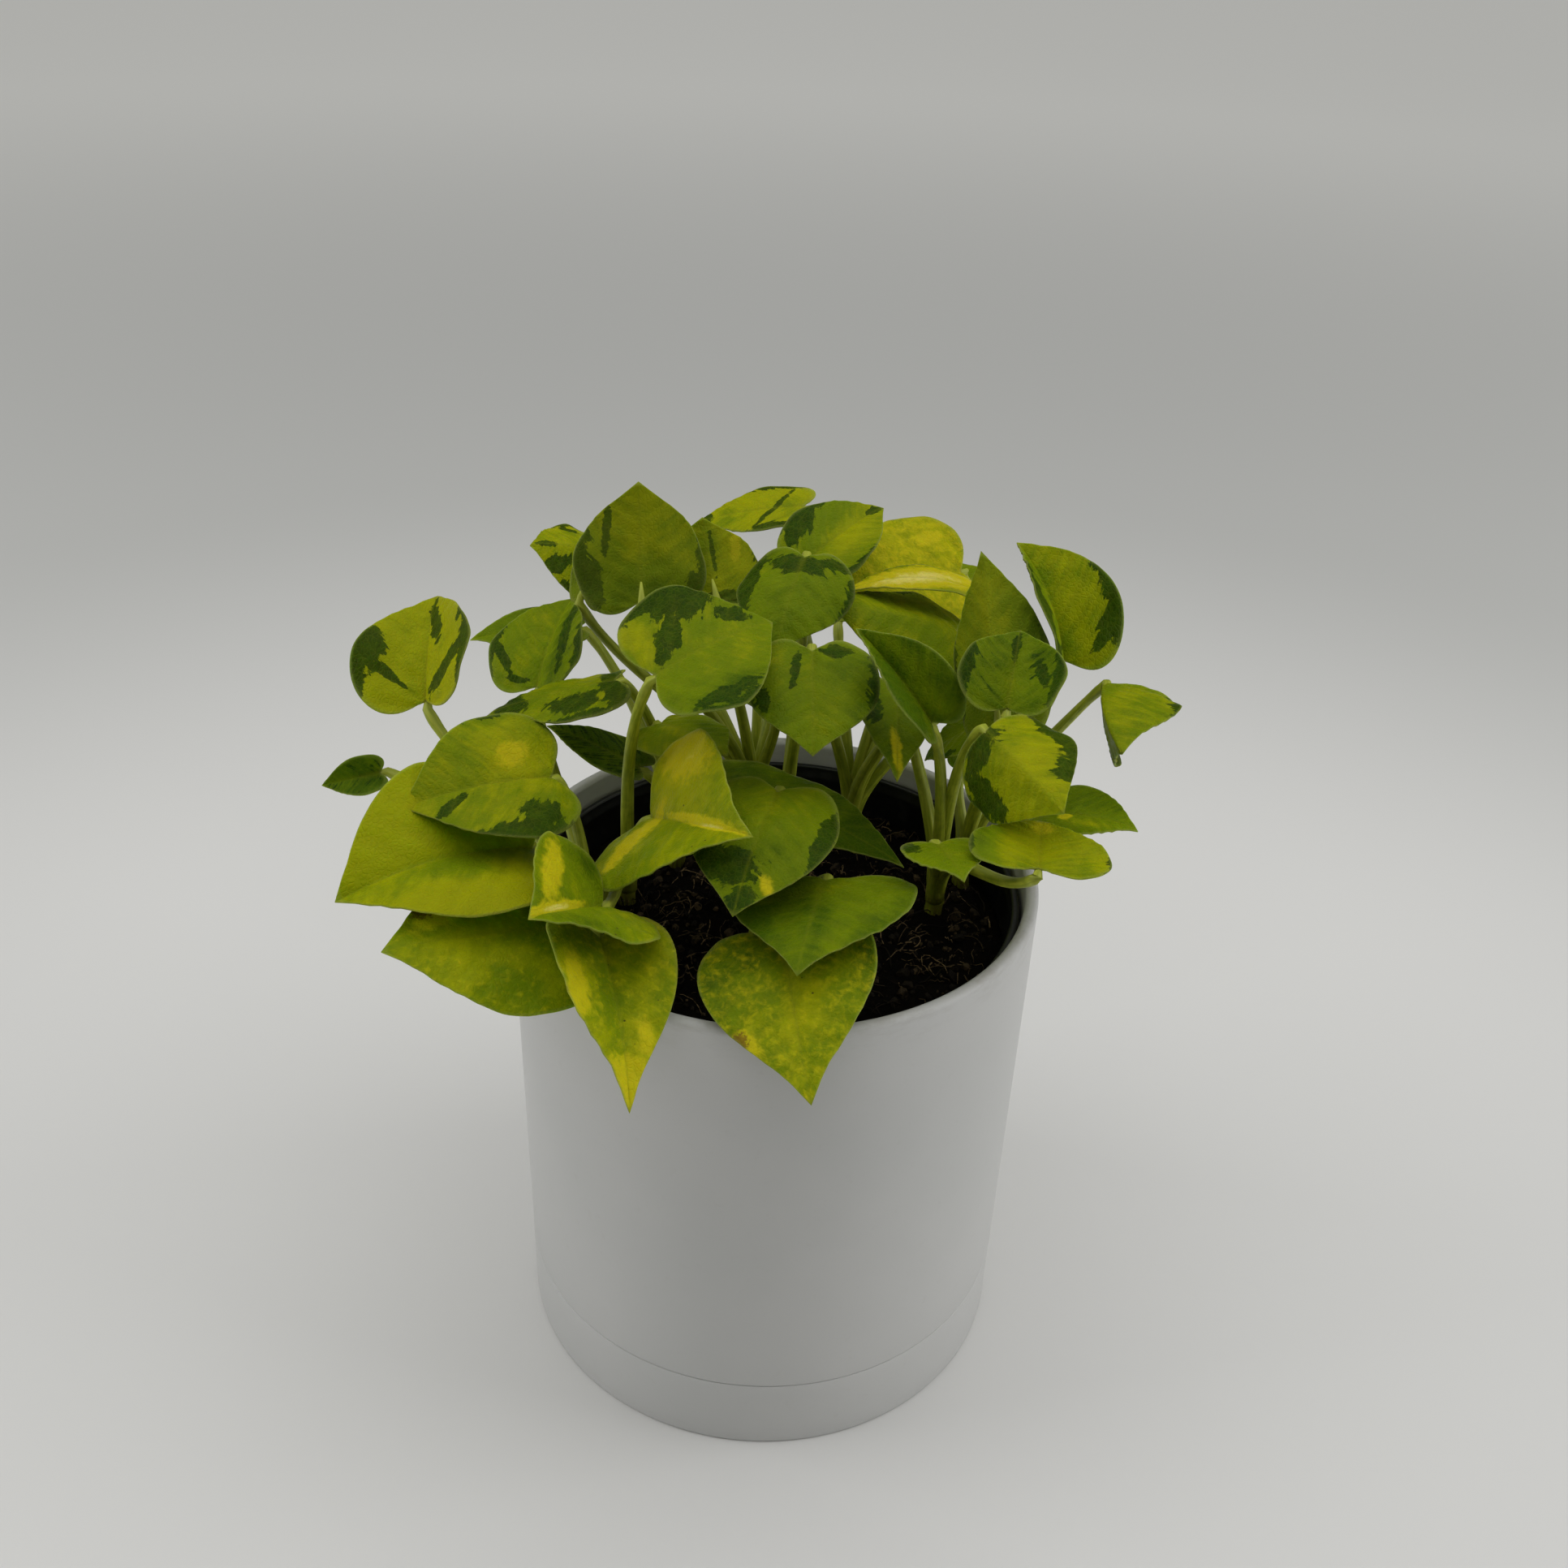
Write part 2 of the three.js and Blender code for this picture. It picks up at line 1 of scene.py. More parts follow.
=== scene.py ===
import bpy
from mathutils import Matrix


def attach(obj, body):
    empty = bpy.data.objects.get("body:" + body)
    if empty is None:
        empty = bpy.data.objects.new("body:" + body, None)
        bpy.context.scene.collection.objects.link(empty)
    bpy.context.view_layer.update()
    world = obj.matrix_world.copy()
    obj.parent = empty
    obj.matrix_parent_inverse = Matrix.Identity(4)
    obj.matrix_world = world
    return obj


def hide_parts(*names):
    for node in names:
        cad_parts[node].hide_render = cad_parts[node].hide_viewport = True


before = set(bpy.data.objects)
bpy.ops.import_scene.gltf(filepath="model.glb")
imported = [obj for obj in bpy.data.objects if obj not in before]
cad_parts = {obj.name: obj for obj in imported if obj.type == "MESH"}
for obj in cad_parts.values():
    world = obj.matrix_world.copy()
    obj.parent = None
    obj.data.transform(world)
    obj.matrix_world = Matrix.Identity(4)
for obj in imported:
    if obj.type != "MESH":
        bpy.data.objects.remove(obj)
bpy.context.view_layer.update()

import math

import bpy
import numpy as np
from mathutils import Matrix, Vector, noise

MM = 0.001
rng = np.random.default_rng(7)

# ---- Sizes, in millimetres, as in the part ----
POT_TOP_R, POT_FOOT_R, POT_HEIGHT, POT_WALL = 80.0, 79.0, 167.0, 4.0
RIM_ROUND, CLEARANCE = 1.8, 0.3
SAUCER_HEIGHT, SAUCER_WALL, SAUCER_FLOOR, SAUCER_EDGE = 26.5, 3.0, 3.0, 1.2
DRAIN_GAP, POT_FLOOR = 6.0, 3.0
NURSERY_TOP, NURSERY_WALL, NURSERY_TAPER = 160.0, 1.2, 12.0
RIM_DROP, RIM_THICK, RIM_GAP = 12.0, 2.4, 1.2
SOIL_LEVEL, SOIL_MOUND = 146.0, 3.0
PETIOLE_END_GAP = 2.2
TIP_DRAW = 0.06

# ---- Sizes of the fine meshes, in millimetres ----
EDGE_ROUND = 0.35
VINE_R, PETIOLE_FOOT_R, PETIOLE_TOP_R = 2.8, 2.3, 1.45
PUFF, ROUGHNESS = 0.45, 0.55
BLADE_HALF, BLADE_EDGE_HALF = 0.30, 0.16

# ---- Counts ----
POT_SIDES, SOIL_SIDES, SOIL_RINGS = 192, 220, 90
CRUMBS, FIBRES, FIBRE_STEPS, FIBRE_SIDES = 950, 520, 8, 5
VINE_STEPS, VINE_SIDES, PETIOLE_STEPS, PETIOLE_SIDES = 26, 20, 40, 14
ROWS, COLUMNS = 46, 33
VEINS = 6.0

# ---- Colours, as linear red, green and blue ----
SHELL_DIM, SHELL_BRIGHT = (0.60, 0.605, 0.59), (0.64, 0.64, 0.625)
SHELL_DUST, SHELL_SCUFF = (0.45, 0.42, 0.38), (0.42, 0.40, 0.36)
BLACK_CLEAN, BLACK_DUSTY = (0.008, 0.009, 0.009), (0.06, 0.05, 0.035)
SOIL_DARK, SOIL_LIGHT = (0.0012, 0.0010, 0.0008), (0.008, 0.0055, 0.0035)
SOIL_FLECK, SOIL_WET = (0.022, 0.015, 0.009), (0.0015, 0.0012, 0.001)
FIBRE_DARK, FIBRE_TAN, FIBRE_STAIN = (0.005, 0.004, 0.003), (0.34, 0.23, 0.11), (0.010, 0.007, 0.004)
STEM_GREEN, STEM_LIGHT, STEM_MOTTLE = (0.270, 0.330, 0.012), (0.470, 0.510, 0.040), (0.150, 0.205, 0.008)
STEM_YOUNG, STEM_LIP, STEM_BARK = (0.44, 0.48, 0.05), (0.50, 0.53, 0.08), (0.085, 0.045, 0.012)
LEAF_YELLOW, LEAF_MIDDLE, LEAF_GREEN = (0.360, 0.370, 0.002), (0.170, 0.235, 0.002), (0.060, 0.115, 0.002)
LEAF_PALE, LEAF_CREAM = (0.58, 0.50, 0.008), (0.80, 0.70, 0.16)
SPLASH_DARK, SPLASH_LIGHT = (0.016, 0.043, 0.0018), (0.032, 0.074, 0.0024)
LEAF_NET, LEAF_RIB, LEAF_MARGIN = (0.30, 0.34, 0.02), (0.24, 0.27, 0.01), (0.30, 0.32, 0.07)
LEAF_RUST, LEAF_SPOT, LEAF_UNDERSIDE = (0.20, 0.10, 0.015), (0.03, 0.02, 0.008), (0.12, 0.14, 0.008)
FLOOR_PALE, FLOOR_BRIGHT = (0.76, 0.757, 0.74), (0.79, 0.787, 0.77)
# the two colours below, for the middle and the far floor, are painted shade and painted light: the fall
# of light with distance
FLOOR_PAINTED_SHADE, FLOOR_FAR_PAINTED_LIGHT = (0.55, 0.553, 0.535), (0.85, 0.85, 0.82)
SKY = (1.0, 1.0, 0.985, 1)

# ---- Camera: place in metres, pitch down and roll in degrees, lens in millimetres ----
CAMERA_PLACE, CAMERA_PITCH, CAMERA_ROLL = (0.00156, -0.41151, 0.44317), 31.02, 2.29
LENS, SENSOR = 37.27, 36.0

# Each leaf: base and tip (measured from the middle of the rim), width, roll, fold, curl, arch, taper.
CUTTINGS = {
    "a": ((-46, 6), 12, [
        ((-35, -15, 71), (-5, 2, 80), 49, 12, 0, 10, 20, -0.3),
        ((-36, -22, 29), (-8, -58, 48), 63, 40, 22, -24, 10, 0.55),
        ((-46, -55, 21), (-60, -80, 35), 44, -25, 30, -20, 10, -0.1),
        ((-46, -62, 16), (-34, -105, -3), 43, -18, 18, 0, 25, 0.6)]),
    "b": ((-54, -18), 12, [
        ((-64, -20, 40), (-100, -38, 40), 44, -24, 12, -8, 30, -0.05),
        ((-69, -28, 21), (-113, -62, 25.5), 54, -20, 26, -20, 50, -0.3),
        ((-53, -52, 11), (-98, -76, 20), 48, -18, -2, -10, 20, -0.25),
        ((-121, 10, 21), (-137, 5, 19), 13, -50, 10, 20, 10, 0),
        ((-104, 5, 49), (-105, 32, 69), 40, -25, 22, 8, 20, -0.4),
        ((-76, 32, 41), (-68, 54, 60), 37, -22, 20, -10, 20, -0.35)]),
    "c": ((-32, 28), 16, [
        ((-67, 64, 46), (-100, 60, 43), 18, -20, 10, 0, 10, -0.2),
        ((-49, 10, 56), (-84, 2, 48), 34, 7, -8, -10, 10, 0),
        ((-36, 14, 40), (-16, -4, 41), 30, 0, -5, -10, 20, 0),
        ((-42, 8, 28), (-70, 20, 34), 16, -10, 0, 0, 10, 0)]),
    "d": ((-8, 50), 16, [
        ((-32, 80, 29), (-54, 104, 17), 38, 0, 8, 0, 30, 0),
        ((-10, 86, 47), (-18, 114, 35), 38, 0, 8, 0, 30, 0),
        ((-62, 76, 69), (-81, 68, 73), 32, -25, -25, 0, 20, -0.2),
        ((-43, 30, 72), (-45, 45, 102), 39, 180, 5, 30, 10, -0.3),
        ((-63, 49, 64), (-56, 58, 89), 20, 180, 10, 10, 10, 0),
        ((-22, 48, 66), (-27, 60, 86), 36, 180, 5, 20, 10, -0.3),
        ((-4, 34, 38), (-16, 35, 43), 18, 0, 0, 0, 10, 0),
        ((4, 79, 85), (-29, 85, 76), 24, -15, 0, 0, 15, 0)]),
    "e": ((2, 30), 16, [
        ((5, 36, 86), (-2, 10, 69), 33, 0, 0, -30, 35, -0.35),
        ((8, 0, 73), (9, -30, 58), 34, 0, 6, -14, 20, -0.4),
        ((-17, 10, 23), (35, -15, 13), 32, 0, 5, -10, 20, 0)]),
    "f": ((-4, -24), 14, [
        ((14, -45, 26), (7, -80, 22), 60, 8, -5, 10, 20, 0.5),
        ((3, -60, 16), (11, -103, 0), 54, 15, 5, -10, 20, 0.45),
        ((0, -26, 42), (-10, -66, 30), 39, 0, 0, -10, 30, -0.2)]),
    "g": ((50, 6), 14, [
        ((42, -14, 59), (21, -6, 82), 27, -30, 40, 0, 20, 0),
        ((44, -42, 37), (49, -62, 40), 26, 0, 0, 0, 10, 0.4),
        ((69, -58, 41), (72, -38, 43), 37, 3, 0, 0, 10, -0.1),
        ((76, -20, 35), (99, -30, 37), 28, 0, 5, 0, 20, 0),
        ((55, -30, 66), (73, -54, 57), 41, 40, -32, -20, 30, -0.2),
        ((33, 6, 59), (33, -22, 46), 26, 0, 10, 0, 20, 0.4)]),
    "h": ((60, 24), 16, [
        ((61, -12, 59), (56, 22, 93), 32, 150, 30, 10, 10, -0.35),
        ((62, -17, 66), (66, 2, 80), 29, 0, 10, 30, 10, -0.4),
        ((94, 14, 59), (94, -20, 56), 47, 54, -52, -10, 40, 0.1),
        ((61, 22, 40), (45, 24, 26), 28, 0, 0, 0, 20, 0),
        ((58, 36, 15), (68, 40, 29), 24, 0, 0, 0, 20, 0),
        ((83, 22, 62), (69, 40, 90), 38, 5, 35, 0, 40, -0.25)]),
    "i": ((24, 48), 16, [
        ((62, 66, 27), (86, 84, 19), 34, 0, 8, 0, 30, 0),
        ((18, 84, 43), (24, 112, 31), 38, 0, 8, 0, 30, 0),
        ((5, 54, 76), (28, 69, 89), 31, 10, 5, 0, 20, -0.35),
        ((56, 74, 67), (19, 56, 67), 44, -40, 0, -10, 10, -0.15),
        ((60, 48, 71), (19, 40, 74), 20, 0, 0, 0, 50, 0),
        ((54, 88, 58), (72, 88, 57), 24, 0, 0, 0, 20, 0),
        ((52, 34, 65), (15, 28, 74), 40, -17, -20, 0, 20, -0.15)]),
}

# How each leaf is coloured. tone runs from yellow-green (0) to full green (1). Patches are ellipses on
# the flat blade: (along, across, half length, half width, turn in degrees), with along from 0 at the
# petiole to 1 at the tip and across from -1 to 1. dark, pale, cream and tan are patches with edges;
# green and light shift the tone softly. edges is the dark green width on either side, splash scatters
# more dark green, fleck scatters yellow, and dots adds small black dots.
# tone and the green, light, dark and edges entries hold painted light and shade as well as each leaf's
# own colour: tone is set lighter on leaves facing away from the lamps (b2, b3, b5, d4) and darker on
# leaves facing up (a1, e1, e2, f3, g5, h3, h6); green, dark and edges also paint shade where a blade
# folds, curls or bulges, and light also paints a sheen and lifts a cast shadow
LOOKS = {
    "a1": dict(tone=0.42, edges=(0.05, 0.14), green=[(0.35, -0.80, 0.40, 0.25, 0)],
               light=[(0.05, 0.60, 0.15, 0.40, 0)],
               dark=[(0.28, 0.42, 0.30, 0.15, 54), (0.52, 0.76, 0.28, 0.28, 0),
                     (0.36, -0.84, 0.26, 0.12, 0), (0.80, 0.30, 0.14, 0.12, -40)]),
    "a2": dict(tone=0.30, light=[(0.3, 0.5, 0.4, 0.4, 0)],
               pale=[(0.20, 0.62, 0.30, 0.26, -12), (0.52, 0.04, 0.34, 0.05, 0),
                     (0.12, -0.30, 0.08, 0.45, 0)],
               cream=[(0.70, 0.00, 0.18, 0.03, 0), (0.30, 0.55, 0.10, 0.05, 0)], dots=True),
    "a3": dict(tone=0.40, green=[(0.05, -0.55, 0.25, 0.40, 0), (0.75, 0.40, 0.20, 0.30, 0)],
               pale=[(0.56, -0.52, 0.38, 0.16, 48)], cream=[(0.70, -0.05, 0.26, 0.05, 0)], dots=True),
    "a4": dict(tone=0.18, fleck=0.36,
               green=[(0.30, -0.12, 0.40, 0.16, 0), (0.05, -0.50, 0.12, 0.40, 0)],
               pale=[(0.40, -0.58, 0.20, 0.18, 0), (0.88, 0.00, 0.14, 0.30, 0),
                     (0.66, 0.28, 0.12, 0.10, 0)], dots=True),
    "b1": dict(tone=0.36, light=[(0.25, -0.40, 0.30, 0.50, 0)], pale=[(0.24, -0.36, 0.12, 0.18, 30)],
               dark=[(0.40, 0.90, 0.40, 0.17, 0), (0.20, 0.66, 0.14, 0.24, 20),
                     (0.74, 0.24, 0.18, 0.08, 30)], edges=(0.04, 0.12)),
    # b2: the low tone and the light patch on the far half are painted light, lifting the shadow that b1
    # casts on it
    "b2": dict(tone=0.02, green=[(0.45, 0.15, 0.45, 0.20, 0)],
               light=[(0.60, 0.80, 0.25, 0.25, 0), (0.5, -0.5, 0.5, 0.5, 0)]),
    "b3": dict(tone=0.30, fleck=0.34, pale=[(0.74, -0.28, 0.12, 0.12, 10)],
               tan=[(0.80, -0.45, 0.10, 0.16, 0)], light=[(0.60, 0.00, 0.25, 0.40, 0)]),
    "b4": dict(tone=0.90, splash=0.35),
    "b5": dict(tone=-0.10, edges=(0.12, 0.10),
               dark=[(0.22, -0.55, 0.32, 0.13, -52), (0.74, -0.15, 0.24, 0.14, 20),
                     (0.50, 0.84, 0.20, 0.22, 0), (0.27, 0.58, 0.20, 0.08, 48)]),
    "b6": dict(tone=0.42, green=[(0.50, -0.50, 0.60, 0.30, 0)], edges=(0.10, 0.06),
               dark=[(0.52, -0.52, 0.42, 0.15, 8), (0.26, 0.78, 0.26, 0.10, 44),
                     (0.05, 0.40, 0.04, 0.26, 0)]),
    "c1": dict(tone=0.60, edges=(0.05, 0.10)),
    "c2": dict(tone=0.35,
               dark=[(0.36, 0.50, 0.24, 0.28, 0), (0.84, -0.10, 0.12, 0.60, 0),
                     (0.02, 0.20, 0.12, 0.90, 0)], edges=(0.10, 0.16)),
    "c3": dict(tone=0.40, green=[(0.60, 0.50, 0.30, 0.30, 0)]),
    "c4": dict(tone=0.95, splash=0.45),
    "d1": dict(tone=0.45, dark=[(0.40, 0.70, 0.30, 0.20, 20)], edges=(0.06, 0.06)),
    "d2": dict(tone=0.35, dark=[(0.30, -0.60, 0.26, 0.18, -30)], edges=(0.05, 0.08)),
    "d3": dict(tone=0.10, edges=(0.10, 0.20),
               dark=[(0.66, 0.42, 0.28, 0.18, 24), (0.80, -0.02, 0.16, 0.08, 0),
                     (0.30, -0.75, 0.20, 0.10, -40)]),
    # d4: the lighter middle and darker edges are painted shading of a bulging blade, and its tone is set
    # lighter as painted light
    "d4": dict(tone=0.34, light=[(0.75, 0.05, 0.40, 0.55, 0)], edges=(0.18, 0.06),
               green=[(0.10, 0.00, 0.20, 0.80, 0)],
               dark=[(0.12, -0.82, 0.32, 0.22, 0), (0.62, -0.52, 0.26, 0.07, 6),
                     (0.05, 0.85, 0.20, 0.18, 0)]),
    "d5": dict(tone=0.60, dark=[(0.30, -0.60, 0.18, 0.16, 0)], edges=(0.10, 0.10)),
    "d6": dict(tone=0.20, pale=[(0.68, 0.58, 0.22, 0.12, 10)],
               dark=[(0.00, 0.10, 0.10, 0.60, 0), (0.60, 0.10, 0.30, 0.05, 0)],
               light=[(0.60, 0.60, 0.50, 0.25, 0)], edges=(0.05, 0.05)),
    "d7": dict(tone=0.90, splash=0.40),
    "d8": dict(tone=0.02, edges=(0.18, 0.08),
               dark=[(0.27, 0.05, 0.36, 0.09, 62), (0.22, 0.88, 0.22, 0.20, 0),
                     (0.97, 0.00, 0.10, 0.40, 0)]),
    "e1": dict(tone=0.62, edges=(0.14, 0.06),
               dark=[(0.12, 0.00, 0.12, 0.60, 0), (0.36, -0.86, 0.40, 0.18, 0),
                     (0.02, 0.60, 0.08, 0.30, 0)]),
    "e2": dict(tone=0.66, light=[(0.60, 0.15, 0.30, 0.35, 0), (0.15, -0.60, 0.20, 0.25, 0)],
               edges=(0.05, 0.08),
               dark=[(0.22, -0.28, 0.24, 0.08, -8), (0.02, 0.42, 0.08, 0.28, 0),
                     (0.55, -0.80, 0.12, 0.12, 0)]),
    "e3": dict(tone=0.90, green=[(0.9, 0.0, 0.2, 0.6, 0)]),
    "f1": dict(tone=0.78, light=[(0.10, 0.20, 0.20, 0.40, 0), (0.80, 0.30, 0.15, 0.15, 0)],
               green=[(0.60, -0.60, 0.30, 0.30, 0)]),
    "f2": dict(tone=0.48, green=[(0.05, -0.60, 0.34, 0.50, 0), (0.40, 0.80, 0.40, 0.12, 0)],
               light=[(0.55, 0.05, 0.40, 0.45, 0)], pale=[(0.66, -0.46, 0.10, 0.08, 20)], fleck=0.40,
               tan=[(0.62, -0.56, 0.08, 0.10, 0)], dots=True),
    "f3": dict(tone=0.62, light=[(0.12, 0.10, 0.25, 0.60, 0)], pale=[(0.82, 0.34, 0.09, 0.09, 30)],
               dark=[(0.72, -0.30, 0.14, 0.50, 0), (0.50, 0.90, 0.45, 0.14, 0),
                     (0.92, 0.05, 0.08, 0.20, 0)]),
    # g1: the long light strip along the fold is a painted sheen
    "g1": dict(tone=0.92, light=[(0.60, -0.36, 0.50, 0.14, 0), (0.10, -0.35, 0.14, 0.20, 0)],
               green=[(0.4, 0.7, 0.4, 0.3, 0)]),
    "g2": dict(tone=0.50, dark=[(0.10, -0.70, 0.20, 0.26, 0)], edges=(0.08, 0.08)),
    "g3": dict(tone=0.26, light=[(0.50, 0.00, 0.40, 0.50, 0)], green=[(0.30, 0.85, 0.40, 0.20, 0)],
               edges=(0.04, 0.04), pale=[(0.82, 0.00, 0.14, 0.16, 0)]),
    "g4": dict(tone=0.66, pale=[(0.26, -0.25, 0.08, 0.16, 0)], light=[(0.60, -0.40, 0.40, 0.20, 0)]),
    "g5": dict(tone=0.22, edges=(0.10, 0.30), light=[(0.55, 0.10, 0.30, 0.30, 0)],
               dark=[(0.35, -0.72, 0.36, 0.22, 0), (0.05, -0.30, 0.14, 0.46, 0),
                     (0.80, 0.62, 0.22, 0.30, 0)]),
    "g6": dict(tone=0.66, pale=[(0.74, -0.02, 0.24, 0.12, 8)], dark=[(0.30, -0.55, 0.22, 0.20, 0)]),
    "h1": dict(tone=0.45, light=[(0.75, 0.00, 0.20, 0.60, 0)], edges=(0.06, 0.06),
               green=[(0.5, 0.8, 0.5, 0.3, 0)]),
    "h2": dict(tone=0.74, edges=(0.16, 0.18), splash=0.30, light=[(0.30, 0.00, 0.20, 0.40, 0)],
               dark=[(0.78, 0.02, 0.20, 0.10, 0), (0.42, -0.62, 0.20, 0.12, 20)]),
    "h3": dict(tone=0.30, edges=(0.12, 0.16), dark=[(0.30, -0.80, 0.46, 0.26, 0)]),
    "h4": dict(tone=0.50, green=[(0.90, 0.10, 0.20, 0.60, 0)], dark=[(0.60, 0.80, 0.20, 0.16, 0)]),
    "h5": dict(tone=0.70, splash=0.30),
    "h6": dict(tone=0.16, green=[(0.50, 0.55, 0.70, 0.40, 0)], edges=(0.16, 0.30),
               dark=[(0.20, -0.75, 0.22, 0.12, -40), (0.50, 0.80, 0.45, 0.30, 0),
                     (0.13, 0.20, 0.03, 0.20, 0)]),
    "i1": dict(tone=0.45, dark=[(0.40, -0.60, 0.24, 0.20, -20)], edges=(0.06, 0.06)),
    "i2": dict(tone=0.35, dark=[(0.30, 0.55, 0.26, 0.20, 30)], edges=(0.08, 0.05)),
    "i3": dict(tone=0.42, edges=(0.05, 0.12), light=[(0.60, -0.30, 0.30, 0.50, 0)],
               dark=[(0.26, 0.78, 0.28, 0.28, 24), (0.92, 0.02, 0.08, 0.12, 0)]),
    "i4": dict(tone=0.06, pale=[(0.18, -0.60, 0.14, 0.14, 0)], fleck=0.50),
    "i5": dict(tone=0.15, pale=[(0.45, 0.05, 0.50, 0.60, 15)], cream=[(0.50, 0.05, 0.44, 0.50, 12)],
               green=[(0.60, -0.80, 0.30, 0.30, 0)]),
    "i6": dict(tone=0.50),
    "i7": dict(tone=0.34, green=[(0.60, -0.85, 0.40, 0.20, 0)], edges=(0.06, 0.05),
               dark=[(0.70, -0.85, 0.22, 0.10, 0)]),
}


# ---- Node helpers ----
class Shader:
    """A material's node tree, with a Principled BSDF at its end."""

    def __init__(self, name, **sockets):
        self.material = bpy.data.materials.new(name)
        self.material.use_nodes = True
        self.nodes = self.material.node_tree.nodes
        self.links = self.material.node_tree.links
        self.nodes.clear()
        output = self.nodes.new("ShaderNodeOutputMaterial")
        self.surface = self.nodes.new("ShaderNodeBsdfPrincipled")
        self.links.new(self.surface.outputs[0], output.inputs[0])
        for socket, value in sockets.items():
            self.surface.inputs[socket.replace("_", " ")].default_value = value

    def add(self, kind, inputs=(), **settings):
        node = self.nodes.new("ShaderNode" + kind)
        for setting, value in settings.items():
            setattr(node, setting, value)
        for key, value in dict(inputs).items():
            self.join(node.inputs[key], value)
        return node

    def join(self, socket, value):
        if isinstance(value, bpy.types.NodeSocket):
            self.links.new(value, socket)
        else:
            socket.default_value = value

    def set(self, name, value):
        self.join(self.surface.inputs[name], value)

    def attribute(self, name, output="Fac"):
        return self.add("Attribute", attribute_name=name).outputs[output]

    def position(self):
        return self.add("TexCoord").outputs["Object"]

    def stretched(self, vector, x, y, z):
        return self.add("Mapping", {"Vector": vector, "Scale": (x, y, z)}).outputs[0]

    def noise(self, vector, scale, detail=3.0, roughness=0.5, distortion=0.0):
        return self.add("TexNoise", {"Vector": vector, "Scale": scale, "Detail": detail,
                                     "Roughness": roughness, "Distortion": distortion}).outputs["Fac"]

    def cells(self, vector, scale, feature="DISTANCE_TO_EDGE"):
        node = self.add("TexVoronoi", {"Vector": vector, "Scale": scale}, feature=feature)
        return node.outputs["Distance"]

    def math(self, operation, *values):
        node = self.add("Math", operation=operation)
        for socket, value in zip(node.inputs, values):
            self.join(socket, value)
        return node.outputs[0]

    def part(self, value, share):
        """value times share."""
        return self.math("MULTIPLY", value, share)

    def swing(self, value, size):
        """A noise round 0.5, as a swing of that size either way."""
        return self.part(self.math("SUBTRACT", value, 0.5), size)

    def sum(self, a, b):
        return self.math("ADD", a, b)

    def span(self, value, low, high, to_low=0.0, to_high=1.0):
        node = self.add("MapRange", {"Value": value, "From Min": low, "From Max": high,
                                     "To Min": to_low, "To Max": to_high})
        node.interpolation_type = "SMOOTHSTEP"
        return node.outputs[0]

    def mix(self, share, a, b):
        node = self.add("Mix", data_type="RGBA")
        self.join(node.inputs["Factor"], share)
        self.join(node.inputs[6], a if isinstance(a, bpy.types.NodeSocket) else (*a, 1.0))
        self.join(node.inputs[7], b if isinstance(b, bpy.types.NodeSocket) else (*b, 1.0))
        return node.outputs[2]

    def bump(self, height, distance, strength=1.0, normal=None):
        inputs = {"Height": height, "Distance": distance * MM, "Strength": strength}
        if normal is not None:
            inputs["Normal"] = normal
        return self.add("Bump", inputs).outputs[0]


# ---- Mesh helpers ----
def piece(name, points, faces, material, replaces, attributes=(), smooth=True):
    """A mesh object in the row frame from points in millimetres, riding on the one body."""
    mesh = bpy.data.meshes.new(name)
    mesh.from_pydata((np.asarray(points, float) * MM).tolist(), [], [list(map(int, f)) for f in faces])
    mesh.validate()
    for key, values in dict(attributes).items():
        values = np.asarray(values, np.float32)
        kind = "FLOAT_VECTOR" if values.ndim == 2 else "FLOAT"
        mesh.attributes.new(key, kind, "POINT").data.foreach_set(
            "vector" if values.ndim == 2 else "value", values.ravel())
    mesh.polygons.foreach_set("use_smooth", [smooth] * len(mesh.polygons))
    mesh.materials.append(material)
    thing = bpy.data.objects.new(name, mesh)
    bpy.context.scene.collection.objects.link(thing)
    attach(thing, "root")
    if replaces:
        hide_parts(*replaces)
    return thing


def grid_faces(rows, columns, start=0, closed=False, flip=False):
    """Quads of a grid whose points run along each row. closed joins the last column to the first."""
    faces = []
    for r in range(rows - 1):
        for c in range(columns if closed else columns - 1):
            d = (c + 1) % columns
            quad = [start + r * columns + c, start + r * columns + d,
                    start + (r + 1) * columns + d, start + (r + 1) * columns + c]
            faces.append(quad[::-1] if flip else quad)
    return faces


def turned(profile, sides):
    """A closed round solid from [radius, height] points that start and end on the axis."""
    angles = np.linspace(0, 2 * math.pi, sides, endpoint=False)
    points, faces = [(0, 0, profile[0][1])], []
    ring = profile[1:-1]
    for r, z in ring:
        points += [(r * math.cos(a), r * math.sin(a), z) for a in angles]
    points.append((0, 0, profile[-1][1]))
    faces += grid_faces(len(ring), sides, 1, closed=True)
    last = len(points) - 1
    top = 1 + (len(ring) - 1) * sides
    for j in range(sides):
        k = (j + 1) % sides
        faces.append([0, 1 + k, 1 + j])
        faces.append([last, top + j, top + k])
    return points, faces


def arc(r, z, radius, start, end, steps=6):
    return [(r + radius * math.cos(math.radians(a)), z + radius * math.sin(math.radians(a)))
            for a in np.linspace(start, end, steps + 1)]


def unit(vectors):
    return vectors / np.maximum(np.linalg.norm(vectors, axis=-1, keepdims=True), 1e-9)


def noise_at(points, scale, octaves=3, seed=0.0):
    """Perlin noise at points in millimetres; scale is the size of its largest features."""
    offset = Vector((seed * 17.3, seed * 5.1, seed * 9.7))
    return np.array([noise.fractal(Vector(p) / scale + offset, 0.6, 2.0, octaves) for p in points])


